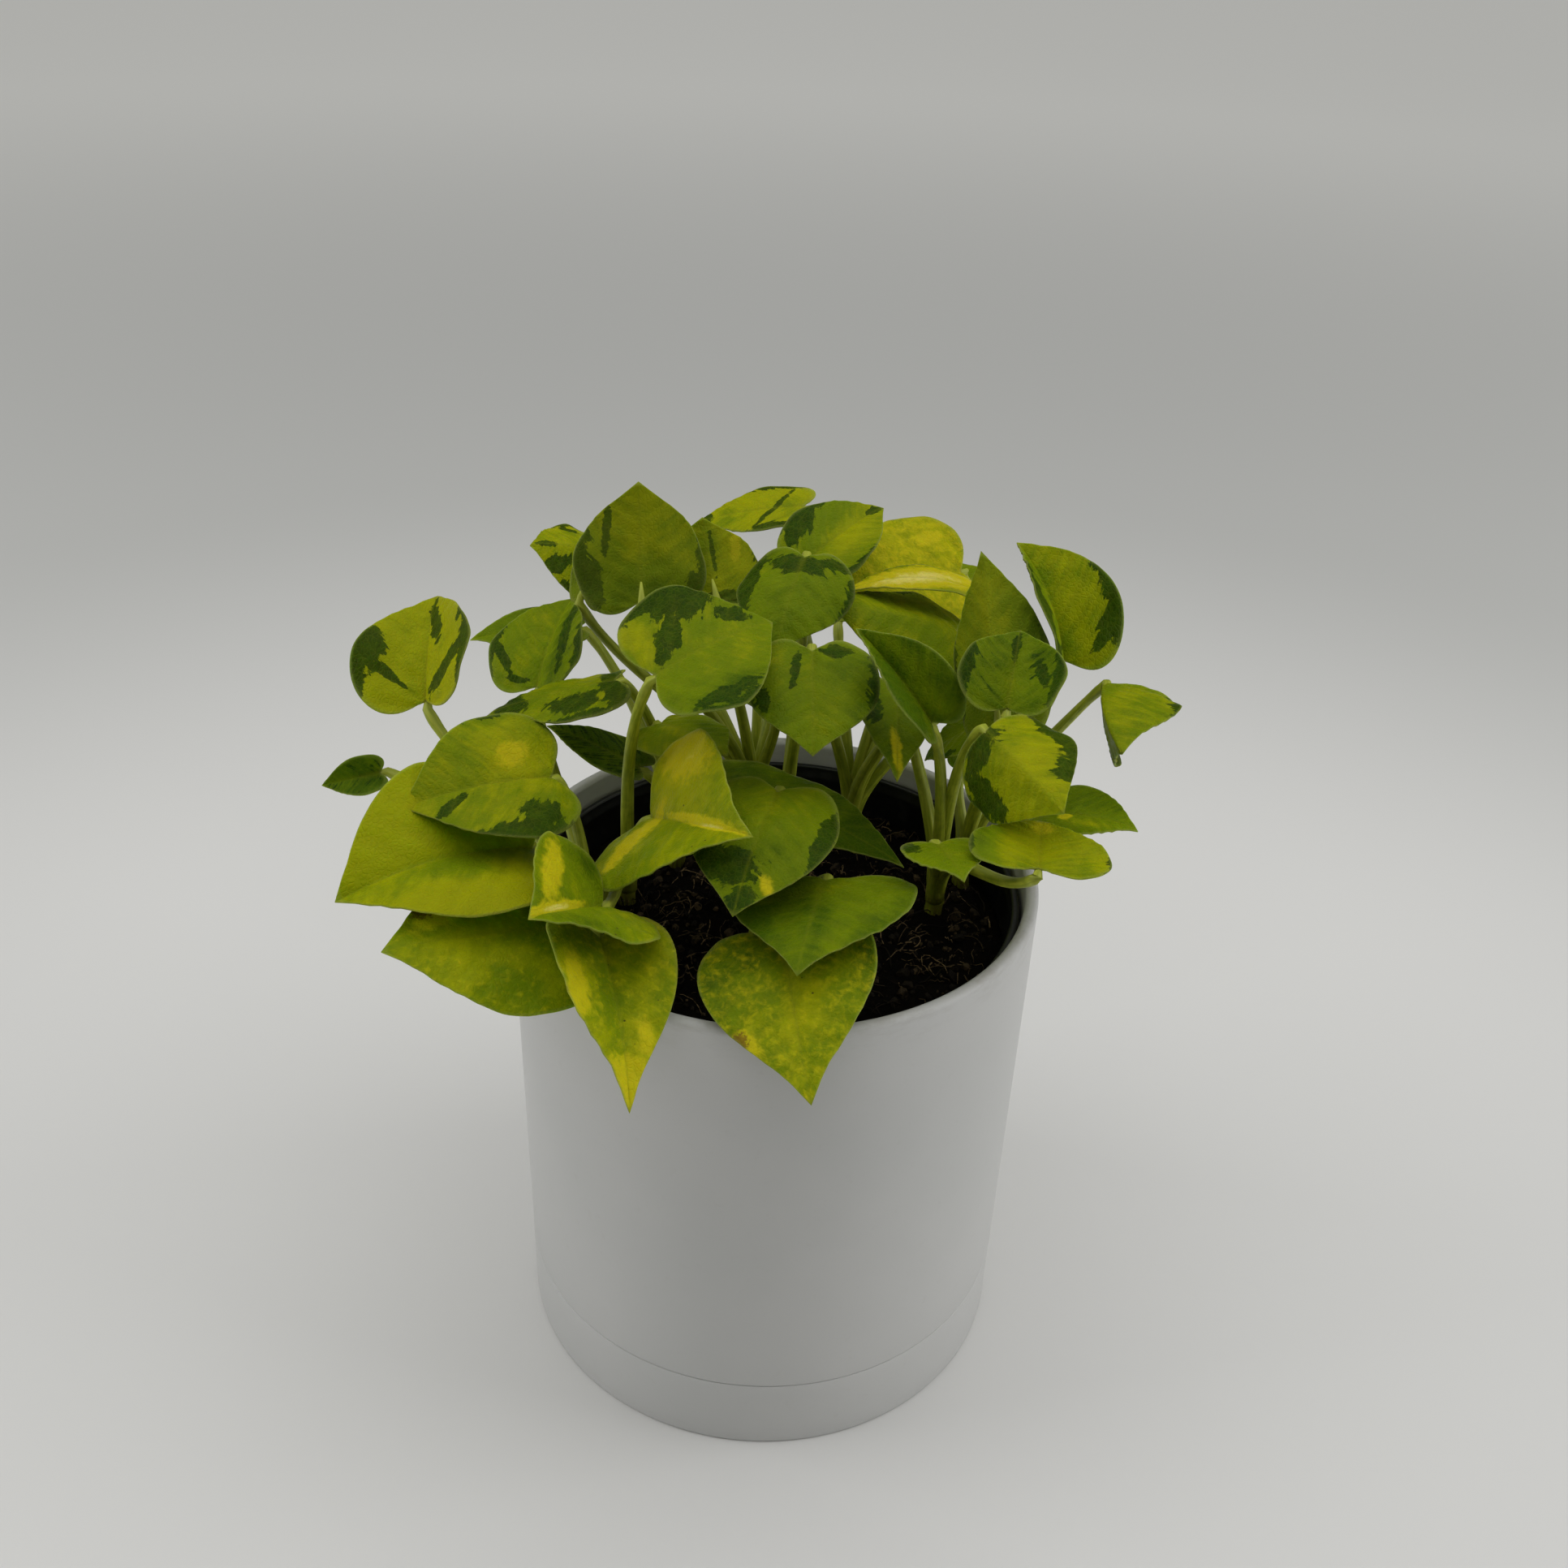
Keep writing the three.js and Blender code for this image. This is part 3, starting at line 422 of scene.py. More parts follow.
# ---- Materials ----
def white_plastic():
    s = Shader("white_plastic", Roughness=0.42, IOR=1.47)
    p = s.position()
    cloud = s.noise(p, 14.0, 3.0)
    fine = s.noise(p, 900.0, 2.0)
    colour = s.mix(s.span(cloud, 0.3, 0.7), SHELL_DIM, SHELL_BRIGHT)
    dust = s.part(s.span(s.noise(p, 260.0, 4.0, 0.7), 0.58, 0.75), 0.10)
    colour = s.mix(dust, colour, SHELL_DUST)
    scratches = s.span(s.noise(s.stretched(p, 1, 1, 4), 90.0, 5.0, 0.7), 0.45, 0.7)
    scuff = s.part(s.attribute("wear"), scratches)
    s.set("Base Color", s.mix(s.part(scuff, 0.45), colour, SHELL_SCUFF))
    s.set("Roughness", s.span(s.sum(cloud, s.part(scuff, 0.5)), 0.2, 1.1, 0.36, 0.62))
    s.set("Normal", s.bump(fine, 0.05, 0.35, s.bump(s.noise(p, 60.0, 2.0), 0.25, 0.25)))
    return s.material


def black_plastic():
    s = Shader("black_plastic", IOR=1.5)
    p = s.position()
    dust = s.span(s.noise(p, 160.0, 5.0, 0.75), 0.5, 0.72)
    dusty = s.span(s.attribute("wear"), 0, 1, 0.10, 0.55)
    s.set("Base Color", s.mix(s.part(dust, dusty), BLACK_CLEAN, BLACK_DUSTY))
    s.set("Roughness", s.span(dust, 0, 1, 0.30, 0.65))
    s.set("Normal", s.bump(s.noise(p, 500.0, 2.0), 0.08, 0.4))
    return s.material


def soil_material():
    s = Shader("potting_mix", IOR=1.3, Specular_IOR_Level=0.15)
    p = s.position()
    grain = s.noise(p, 420.0, 6.0, 0.7)
    lumps = s.cells(p, 260.0, "F1")
    colour = s.mix(s.span(grain, 0.35, 0.7), SOIL_DARK, SOIL_LIGHT)
    colour = s.mix(s.span(s.noise(p, 900.0, 3.0), 0.62, 0.74), colour, SOIL_FLECK)
    colour = s.mix(s.span(s.noise(p, 45.0, 2.0), 0.5, 0.75), colour, SOIL_WET)
    s.set("Base Color", colour)
    s.set("Roughness", s.span(grain, 0.3, 0.7, 0.7, 0.97))
    s.set("Normal", s.bump(grain, 0.9, 0.8, s.bump(lumps, 0.9, 0.5)))
    return s.material


def fibre_material():
    s = Shader("coir_fibre", Roughness=0.8, Specular_IOR_Level=0.15)
    p = s.position()
    colour = s.mix(s.attribute("shade"), FIBRE_DARK, FIBRE_TAN)
    colour = s.mix(s.span(s.noise(p, 700.0, 3.0), 0.45, 0.65), colour, FIBRE_STAIN)
    s.set("Base Color", colour)
    s.set("Normal", s.bump(s.noise(s.stretched(p, 1, 1, 3), 1200.0, 2.0), 0.1, 0.5))
    return s.material


def stem_material():
    s = Shader("stem_skin", IOR=1.42, Subsurface_Weight=0.12, Subsurface_Scale=0.002)
    s.surface.inputs["Subsurface Radius"].default_value = (0.6, 1.0, 0.15)
    run = s.attribute("run", "Vector")
    streak = s.noise(s.stretched(run, 1.0, 0.06, 1.0), 1.6, 4.0, 0.6)
    mottle = s.noise(run, 0.3, 3.0)
    colour = s.mix(s.span(streak, 0.35, 0.68), STEM_GREEN, STEM_LIGHT)
    colour = s.mix(s.part(s.span(mottle, 0.45, 0.7), 0.4), colour, STEM_MOTTLE)
    colour = s.mix(s.part(s.attribute("young"), 0.55), colour, STEM_YOUNG)
    colour = s.mix(s.part(s.attribute("groove"), 0.40), colour, STEM_LIP)
    bark = s.part(s.attribute("bark"), s.span(streak, 0.3, 0.6))
    s.set("Base Color", s.mix(bark, colour, STEM_BARK))
    s.set("Roughness", s.span(streak, 0.3, 0.7, 0.38, 0.55))
    s.set("Normal", s.bump(streak, 0.15, 0.5))
    return s.material


def leaf_material():
    s = Shader("leaf_skin", IOR=1.40, Specular_IOR_Level=0.06,
               Subsurface_Weight=0.45, Subsurface_Scale=0.002)
    s.surface.inputs["Subsurface Radius"].default_value = (0.6, 1.0, 0.1)
    flat, veined = s.attribute("flat", "Vector"), s.attribute("veined", "Vector")
    under, margin, rib = s.attribute("under"), s.attribute("margin"), s.attribute("rib")
    tone, dark, pale, tan = (s.attribute(k) for k in ("tone", "dark", "pale", "tan"))

    streak = s.noise(s.stretched(veined, 1.0, 0.22, 1.0), 0.55, 4.0, 0.62)
    cloud = s.noise(flat, 0.10, 3.0, 0.55)
    mottle = s.noise(flat, 0.42, 4.0, 0.6, 0.4)
    net = s.cells(flat, 0.75)

    # yellow-green to green, in soft clouds and streaks along the side veins; the tone attribute also
    # holds painted light and shade
    share = s.sum(s.sum(tone, s.swing(cloud, 1.1)), s.swing(streak, 0.7))
    colour = s.mix(s.span(share, -0.10, 0.5), LEAF_YELLOW, LEAF_MIDDLE)
    colour = s.mix(s.span(share, 0.45, 1.15), colour, LEAF_GREEN)
    # pale patches, yellow to cream
    yellow = s.sum(pale, s.swing(mottle, 0.9))
    colour = s.mix(s.span(yellow, 0.30, 0.75), colour, LEAF_PALE)
    colour = s.mix(s.span(yellow, 0.95, 1.5), colour, LEAF_CREAM)
    # dark green splashes with torn edges along the veins; the dark attribute also holds some painted
    # shade
    torn = s.sum(s.swing(streak, 1.05), s.swing(s.noise(flat, 0.35, 3.0, 0.6), 0.75))
    splash = s.span(s.sum(dark, torn), 0.46, 0.56)
    green = s.mix(s.span(mottle, 0.35, 0.7), SPLASH_DARK, SPLASH_LIGHT)
    colour = s.mix(s.part(splash, 0.92), colour, green)
    # fine net of veins, midrib and side veins
    colour = s.mix(s.part(s.span(net, 0.0, 0.10, 1.0, 0.0), 0.10), colour, LEAF_NET)
    colour = s.mix(s.part(rib, 0.30), colour, LEAF_RIB)
    # tan blemishes and small black dots
    rust = s.span(s.sum(tan, s.swing(s.noise(flat, 0.9, 4.0, 0.7), 1.6)), 0.55, 0.85)
    colour = s.mix(s.part(rust, 0.8), colour, LEAF_RUST)
    dots = s.span(s.cells(flat, 0.16, "F1"), 0.035, 0.06, 1.0, 0.0)
    colour = s.mix(s.part(dots, s.span(tan, 0.05, 0.12)), colour, LEAF_SPOT)
    # underside and margin
    colour = s.mix(s.part(under, 0.30), colour, LEAF_UNDERSIDE)
    s.set("Base Color", s.mix(s.part(margin, 0.55), colour, LEAF_MARGIN))
    s.set("Roughness", s.span(s.sum(mottle, s.part(under, 0.4)), 0.25, 1.1, 0.36, 0.62))
    relief = s.sum(s.part(s.span(net, 0.0, 0.2), 0.35), mottle)
    s.set("Normal", s.bump(relief, 0.45, 0.6))
    return s.material


# ---- Pots ----
def outer_radius(z):
    return POT_FOOT_R + (POT_TOP_R - POT_FOOT_R) * z / POT_HEIGHT


def nursery_inner(z):
    foot = SAUCER_FLOOR + DRAIN_GAP + POT_FLOOR + CLEARANCE
    rim = POT_TOP_R - POT_WALL - RIM_GAP
    return rim - RIM_THICK - NURSERY_TAPER * (1 - (z - foot) / (NURSERY_TOP - foot))


def wear_of(points, low, high):
    """1 near the height high, falling to 0 at low."""
    z = np.asarray(points)[:, 2]
    return np.clip((z - low) / (high - low), 0, 1) ** 2


def build_pots():
    white, black = white_plastic(), black_plastic()
    inner = POT_FOOT_R - SAUCER_WALL
    soft = EDGE_ROUND
    points, faces = turned([
        (0, 0), (POT_FOOT_R - 6, 0), (POT_FOOT_R - SAUCER_EDGE, 0),
        *arc(POT_FOOT_R - SAUCER_EDGE, SAUCER_EDGE, SAUCER_EDGE, -80, 0, 5),
        *[(outer_radius(z), z) for z in (8, 15, 22)],
        *arc(outer_radius(SAUCER_HEIGHT) - soft, SAUCER_HEIGHT - soft, soft, 0, 90, 3),
        *arc(inner + soft, SAUCER_HEIGHT - soft, soft, 90, 180, 3),
        (inner, 12), (inner, SAUCER_FLOOR + 2), (inner - 2, SAUCER_FLOOR), (0, SAUCER_FLOOR)], POT_SIDES)
    piece("saucer_shell", points, faces, white, ["saucer"],
          {"wear": wear_of(points, 4, -2)})

    shoulder = SAUCER_HEIGHT + CLEARANCE
    spigot = POT_FOOT_R - SAUCER_WALL - CLEARANCE
    low = SAUCER_FLOOR + DRAIN_GAP
    lip = POT_HEIGHT - RIM_ROUND
    points, faces = turned([
        (0, low), (spigot - 2, low), (spigot, low + 2), (spigot, shoulder),
        *arc(outer_radius(shoulder) - soft, shoulder + soft, soft, -90, 0, 3),
        *[(outer_radius(z), z) for z in np.linspace(40, 155, 9)],
        *arc(POT_TOP_R - RIM_ROUND, lip, RIM_ROUND, 0, 90, 8),
        *arc(POT_TOP_R - POT_WALL + RIM_ROUND, lip, RIM_ROUND, 90, 180, 8),
        (POT_TOP_R - POT_WALL - 0.1, 140), (POT_FOOT_R - POT_WALL, 60),
        (POT_FOOT_R - POT_WALL - CLEARANCE, low + POT_FLOOR + 3),
        (POT_FOOT_R - POT_WALL - CLEARANCE - 3, low + POT_FLOOR), (0, low + POT_FLOOR)], POT_SIDES)
    piece("planter_shell", points, faces, white, ["planter"],
          {"wear": wear_of(points, POT_HEIGHT - 7, POT_HEIGHT)})

    foot = low + POT_FLOOR + CLEARANCE
    rim = POT_TOP_R - POT_WALL - RIM_GAP
    band = NURSERY_TOP - RIM_DROP
    inside, wall = nursery_inner, lambda z: nursery_inner(z) + NURSERY_WALL
    points, faces = turned([
        (0, foot), (wall(foot) - 2, foot), (wall(foot), foot + 2), (wall(80), 80), (wall(band), band),
        (rim - 0.9, band), (rim - 0.3, band + 0.4), (rim, band + 4), (rim, NURSERY_TOP - 1),
        *arc(rim - 1, NURSERY_TOP - 1, 1, 0, 90, 5),
        (inside(NURSERY_TOP) + 0.8, NURSERY_TOP),
        *arc(inside(NURSERY_TOP) + 0.7, NURSERY_TOP - 0.7, 0.7, 90, 180, 4),
        (inside(158) + 0.05, 157.6), (inside(156) - 0.25, 156.6), (inside(155) - 0.25, 155.6),
        (inside(154), 154.8), (inside(SOIL_LEVEL), SOIL_LEVEL), (inside(60), 60),
        (inside(foot + NURSERY_WALL), foot + NURSERY_WALL), (0, foot + NURSERY_WALL)], POT_SIDES)
    piece("nursery_shell", points, faces, black, ["nursery_pot"],
          {"wear": wear_of(points, NURSERY_TOP - 2, SOIL_LEVEL)})


# ---- Potting mix ----
def soil_height(r):
    return SOIL_LEVEL + SOIL_MOUND * (1 - (r / nursery_inner(SOIL_LEVEL)) ** 2)


def soil_top(x, y):
    """Height of the crumbly surface."""
    r = np.hypot(x, y)
    edge = nursery_inner(SOIL_LEVEL)
    flat = np.stack([x, y, np.zeros_like(x)], 1)
    rough = 1.5 * noise_at(flat, 14, 2, 1.0) + 1.1 * noise_at(flat, 4.5, 3, 2.0)
    return soil_height(r) + rough - 1.2 * np.clip((r - edge + 6) / 6, 0, 1)


def build_soil():
    edge = nursery_inner(SOIL_LEVEL) - CLEARANCE
    sides, rings = SOIL_SIDES, SOIL_RINGS
    radii = edge * np.linspace(0, 1, rings + 1)[1:]
    angles = np.linspace(0, 2 * math.pi, sides, endpoint=False)
    r, a = np.meshgrid(radii, angles, indexing="ij")
    x, y = (r * np.cos(a)).ravel(), (r * np.sin(a)).ravel()
    top = np.stack([x, y, soil_top(x, y)], 1)
    foot = SAUCER_FLOOR + DRAIN_GAP + POT_FLOOR + CLEARANCE + NURSERY_WALL + CLEARANCE
    skirt = []
    for z in (140.0, 80.0, foot):
        r = nursery_inner(z) - CLEARANCE
        skirt.append(np.stack([r * np.cos(angles), r * np.sin(angles), np.full(sides, z)], 1))
    middle = [[0, 0, soil_top(np.zeros(1), np.zeros(1))[0]]]
    points = np.concatenate([middle, top, *skirt, [[0, 0, foot]]])
    faces = [[0, 1 + j, 1 + (j + 1) % sides] for j in range(sides)]
    faces += grid_faces(rings + 3, sides, 1, closed=True, flip=True)
    last = len(points) - 1
    base = 1 + (rings + 2) * sides
    faces += [[last, base + (j + 1) % sides, base + j] for j in range(sides)]
    piece("potting_mix_body", points, faces, soil_material(), ["potting_mix"])


def icosphere():
    t = (1 + 5 ** 0.5) / 2
    points = unit(np.array([
        (-1, t, 0), (1, t, 0), (-1, -t, 0), (1, -t, 0), (0, -1, t), (0, 1, t),
        (0, -1, -t), (0, 1, -t), (t, 0, -1), (t, 0, 1), (-t, 0, -1), (-t, 0, 1)], float))
    faces = [
        (0, 11, 5), (0, 5, 1), (0, 1, 7), (0, 7, 10), (0, 10, 11), (1, 5, 9), (5, 11, 4),
        (11, 10, 2), (10, 7, 6), (7, 1, 8), (3, 9, 4), (3, 4, 2), (3, 2, 6), (3, 6, 8),
        (3, 8, 9), (4, 9, 5), (2, 4, 11), (6, 2, 10), (8, 6, 7), (9, 8, 1)]
    return points, faces


def build_crumbs(material):
    """Loose crumbs and bark chips on the potting mix."""
    ball, ball_faces = icosphere()
    count, edge = CRUMBS, nursery_inner(SOIL_LEVEL) - 2
    r, a = edge * np.sqrt(rng.random(count)), rng.random(count) * 2 * math.pi
    x, y = r * np.cos(a), r * np.sin(a)
    z = soil_top(x, y)
    points, faces, shade = [], [], []
    for i in range(count):
        size = 0.5 + 1.5 * rng.random() ** 3
        shape = ball * (size * (0.6 + 0.8 * rng.random((1, 3)))) * (0.75 + 0.5 * rng.random((12, 1)))
        turn = np.array(Matrix.Rotation(rng.random() * 6.28, 3, Vector(rng.normal(size=3))))
        start = len(points) * 12
        points.append(shape @ turn.T + [x[i], y[i], z[i] + 0.2 * size])
        faces += [[start + k for k in f] for f in ball_faces]
        shade += [0.02 + 0.35 * rng.random() ** 3] * 12
    piece("potting_mix_crumbs", np.concatenate(points), faces, material, [],
          {"shade": shade}, smooth=False)


def from_top(angles):
    """How far each angle is from the top of a tube."""
    return np.abs(np.angle(np.exp(1j * (angles - math.pi / 2))))


def tube(line, radii, sides, up=(0, 0, 1), groove=0.0):
    """A closed tube along a line, with a groove along its top. Returns its points and faces, and
    each point's angle round the line and distance along it."""
    line = np.asarray(line, float)
    ahead = unit(np.gradient(line, axis=0))
    across = unit(np.cross(ahead, np.asarray(up, float)) + 1e-6)
    rise = np.cross(across, ahead)
    angles = np.linspace(0, 2 * math.pi, sides, endpoint=False)
    dip = 1 - groove * np.exp(-(from_top(angles) / 0.5) ** 2)
    radii = np.broadcast_to(radii, len(line))
    ring = across[:, None] * np.cos(angles)[:, None] + rise[:, None] * np.sin(angles)[:, None]
    body = line[:, None] + ring * (radii[:, None] * dip[None])[..., None]
    points = np.concatenate([body.reshape(-1, 3), line[:1], line[-1:]])
    faces = grid_faces(len(line), sides, 0, closed=True, flip=True)
    first, last, end = len(points) - 2, len(points) - 1, (len(line) - 1) * sides
    for j in range(sides):
        k = (j + 1) % sides
        faces += [[first, j, k], [last, end + k, end + j]]
    far = np.concatenate([[0], np.cumsum(np.linalg.norm(np.diff(line, axis=0), axis=1))])
    around = np.concatenate([np.tile(angles, len(line)), [0, 0]])
    along = np.concatenate([np.repeat(far, sides), far[:1], far[-1:]])
    return points, faces, around, along


def build_fibres(material):
    """Coir fibres, lying on the potting mix and poking out of it, paler where they clump."""
    edge = nursery_inner(SOIL_LEVEL) - 4
    points, faces, shade = [], [], []
    total = 0
    t = np.linspace(0, 1, FIBRE_STEPS)
    for _ in range(FIBRES):
        r, a = edge * math.sqrt(rng.random()), rng.random() * 2 * math.pi
        heading, length = rng.random() * 2 * math.pi, 4 + 13 * rng.random() ** 2
        direction = heading + rng.normal() * 1.4 * (t - 0.5)
        x, y = np.cumsum(np.cos(direction)), np.cumsum(np.sin(direction))
        line = np.stack([x, y, np.zeros(FIBRE_STEPS)], 1) * length / FIBRE_STEPS
        line[:, :2] += [r * math.cos(a), r * math.sin(a)]
        far = np.hypot(line[:, 0], line[:, 1])
        line[:, :2] *= np.minimum(1, edge / far)[:, None]
        hump = (0.5 + 2.2 * rng.random() ** 2) * np.sin(math.pi * t)
        kinks = 0.4 * rng.normal(size=FIBRE_STEPS)
        line[:, 2] = soil_height(np.hypot(line[:, 0], line[:, 1])) + 0.9 + hump + kinks
        radii = (0.12 + 0.16 * rng.random()) * (1 - 0.5 * t)
        body, tube_faces, _, _ = tube(line, radii, FIBRE_SIDES)
        points.append(body)
        faces += [[total + k for k in f] for f in tube_faces]
        total += len(body)
        clump = np.clip(0.8 + 2.5 * noise_at(line[:1], 16, 2, 4.0)[0], 0.05, 1)
        shade += [rng.random() ** 0.7 * clump] * len(body)
    piece("potting_mix_fibres", np.concatenate(points), faces, material, [], {"shade": shade})


# ---- Leaf blades ----
def leaf_axes(base, tip, roll):
    base, tip = np.array(base, float), np.array(tip, float)
    chord = np.linalg.norm(tip - base)
    along = (tip - base) / chord
    up = unit(np.array([0, 0, 1.0]) - along * along[2])
    angle = math.radians(roll)
    up = up * math.cos(angle) + np.cross(along, up) * math.sin(angle)
    return base, chord, along, np.cross(up, along), up


def radians_of(angle):
    return math.radians(1.0 if abs(angle) < 1 else angle)


def edge_along(u):
    return (1 - TIP_DRAW) * (u ** 1.35 - 2 * u * (1 - u) ** 3) + TIP_DRAW * u ** 12


def edge_across(u, taper):
    return np.maximum(0, np.sin(math.pi * u ** 1.06)) ** 0.75 * (1 - taper * u * u)


def blade_surface(leaf, u, v):
    """Points of the blade's middle surface in the row frame, the directions out of its upper face, and
    its flat coordinates: share of the length, share of the half width."""
    base, tip, width, roll, fold, curl, arch, taper = leaf
    base, chord, along, side, up = leaf_axes(base, tip, roll)
    half_arch = radians_of(arch) / 2
    length = chord * half_arch / math.sin(half_arch)
    mix = np.abs(v) ** 1.5
    s = length * (u * (1 - mix) + edge_along(u) * mix)
    half = width / 2
    share = np.abs(v) * edge_across(u, taper)
    start, bend = math.radians(fold), radians_of(curl)
    slope = start + bend * share
    across = half / bend * (np.sin(slope) - math.sin(start)) * np.sign(v)
    lift = half / bend * (math.cos(start) - np.cos(slope))
    tilt = half_arch * (1 - 2 * s / length)
    x = length / 2 / half_arch * (math.sin(half_arch) - np.sin(tilt))
    z = length / 2 / half_arch * (np.cos(tilt) - math.cos(half_arch))
    ox, oz = -np.sin(tilt), np.cos(tilt)
    local = np.stack([x + ox * lift, across, z + oz * lift], -1)
    normal = np.stack([ox * np.cos(slope), -np.sin(slope) * np.sign(v), oz * np.cos(slope)], -1)
    turn = np.stack([along, side, up])
    return base + local @ turn, normal @ turn, s / length, share * np.sign(v), length


def build_blade(name, leaf, look, material):
    seed = float(sum(ord(c) * (i + 1) * 7 for i, c in enumerate(name)) % 97)
    t = np.linspace(0, 1, ROWS + 1)[1:-1]
    w = np.linspace(-1, 1, COLUMNS)
    u, v = np.meshgrid(t, w - 0.2 * np.sin(2 * math.pi * w) / math.pi, indexing="ij")
    u = np.concatenate([[0], u.ravel(), [1]])
    v = np.concatenate([[0], v.ravel(), [0]])
    point, normal, along, across, length = blade_surface(leaf, u, v)
    half = leaf[2] / 2
    y = np.abs(across)

    # side veins leave the midrib and sweep towards the tip; those of the lobes fan out from the base
    sweep = along - 0.42 * y ** 1.3
    sweep = np.where(sweep < 0, sweep * 0.55 / (y + 0.12), sweep) * VEINS
    near = np.abs(sweep - np.round(sweep))
    vein = np.exp(-(near / 0.10) ** 2) * np.clip(y * 6, 0, 1) * np.clip((1 - y) * 3, 0, 1)
    slim = np.clip(1.05 - along, 0.1, 1)
    midrib = np.exp(-(y * half / (0.9 * slim + 0.2)) ** 2) * (along > -0.02)
    puff = np.sin(math.pi * sweep) ** 2 * np.clip(y * 4, 0, 1) * np.clip((1 - y) * 4, 0, 1)
    rough = noise_at(np.stack([along * length, across * half, np.full_like(y, seed)], 1), 9.0, 2, seed)
    relief = (PUFF * puff + ROUGHNESS * rough * np.clip(y * 5, 0, 1)) * min(1, half / 18)
    nib = np.clip((u - 0.90) / 0.10, 0, 1) ** 2 * np.clip(1 - 3 * y, 0, 1)
    wave = 0.022 * leaf[2] * np.sin(along * 9 + seed + (across > 0) * 2.1)
    wave = wave * y ** 3 * np.clip(3 * (1 - along), 0, 1)
    centre = point + normal * (relief + wave - 0.9 * nib)[:, None]
    ahead = unit(np.array(leaf[1], float) - np.array(leaf[0], float))
    centre += ahead * (0.055 * length * nib)[:, None]

    rim = np.clip((1 - np.abs(v)) * edge_across(u, leaf[7]) * half / 0.9, 0, 1)
    thick = BLADE_EDGE_HALF + (BLADE_HALF - BLADE_EDGE_HALF) * rim
    top = centre + normal * (thick - 0.30 * midrib * slim)[:, None]
    low = centre - normal * (thick + 0.55 * midrib * slim + 0.08 * vein)[:, None]
    n = len(u)
    points = np.concatenate([top, low])

    def at(row, column):
        return 0 if row < 0 else (n - 1 if row >= ROWS - 1 else 1 + row * COLUMNS + column)

    upper = []
    for row in range(-1, ROWS - 1):
        for c in range(COLUMNS - 1):
            corners = [at(row, c), at(row + 1, c), at(row + 1, c + 1), at(row, c + 1)]
            upper.append(list(dict.fromkeys(corners)))
    faces = upper + [[n + k for k in f[::-1]] for f in upper]
    for row in range(-1, ROWS - 1):
        p, q = at(row, 0), at(row + 1, 0)
        faces.append([p, p + n, q + n, q])
        p, q = at(row + 1, COLUMNS - 1), at(row, COLUMNS - 1)
        faces.append([p, p + n, q + n, q])

    def reach(patch):
        """Distance from a patch's middle, as a share of the way to its edge."""
        x0, y0, rx, ry, turn = patch
        c, s = math.cos(math.radians(turn)), math.sin(math.radians(turn))
        dx, dy = (along - x0) * length, (across - y0) * half
        return np.hypot((dx * c + dy * s) / (rx * length), (dy * c - dx * s) / (ry * half))

    def field(kind):
        """Over 0.5 inside a patch of that kind, falling outwards."""
        fields = [1.2 - 0.7 * reach(patch) for patch in look.get(kind, ())]
        return np.max(fields + [np.full(n, -1.0)], 0)

    def tint(kind):
        return sum((np.exp(-reach(patch) ** 2) for patch in look.get(kind, ())), np.zeros(n))

    # tone, with the green and light tints, holds painted light and shade as well as the leaf's own
    # yellow-green to green
    tone = look["tone"] + 0.5 * tint("green") - 0.4 * tint("light")
    # the dark patches and the dark edge bands are partly painted shade, where a blade folds, curls or
    # bulges
    dark = field("dark")
    for side, width in zip((-1, 1), look.get("edges", (0, 0))):
        if width > 0:
            band = 0.5 + (y - (1 - width)) * 3
            dark = np.maximum(dark, np.where(across * side > 0, band, -1))
    dark = np.maximum(dark, look.get("splash", 0.0))
    pale = np.maximum(np.minimum(field("pale"), 0.8), np.minimum(field("cream") + 0.4, 1.5))
    pale = np.maximum(pale, look.get("fleck", -0.2))
    tan = np.maximum(field("tan"), 0.1 if look.get("dots") else 0.0)
    own = np.full(n, seed * 3)
    flat = np.stack([along * length, across * half, own], 1)
    veined = np.stack([sweep * 6, y * half + 40 * (across > 0), own], 1)
    fields = {"margin": 1 - rim, "rib": np.maximum(midrib, 0.5 * vein),
              "tone": tone, "dark": dark, "pale": pale, "tan": tan}
    attributes = {"flat": np.tile(flat, (2, 1)), "veined": np.tile(veined, (2, 1)),
                  "under": np.repeat([0.0, 1.0], n)}
    attributes.update((key, np.tile(values, 2)) for key, values in fields.items())
    points[:, 2] += POT_HEIGHT
    piece("blade_" + name, points, faces, material, ["leaf_" + name], attributes)


# ---- Stems ----
def bezier(p0, p1, p2, p3, t):
    t = t[:, None]
    return (1 - t) ** 3 * p0 + 3 * (1 - t) ** 2 * t * p1 + 3 * (1 - t) * t * t * p2 + t ** 3 * p3


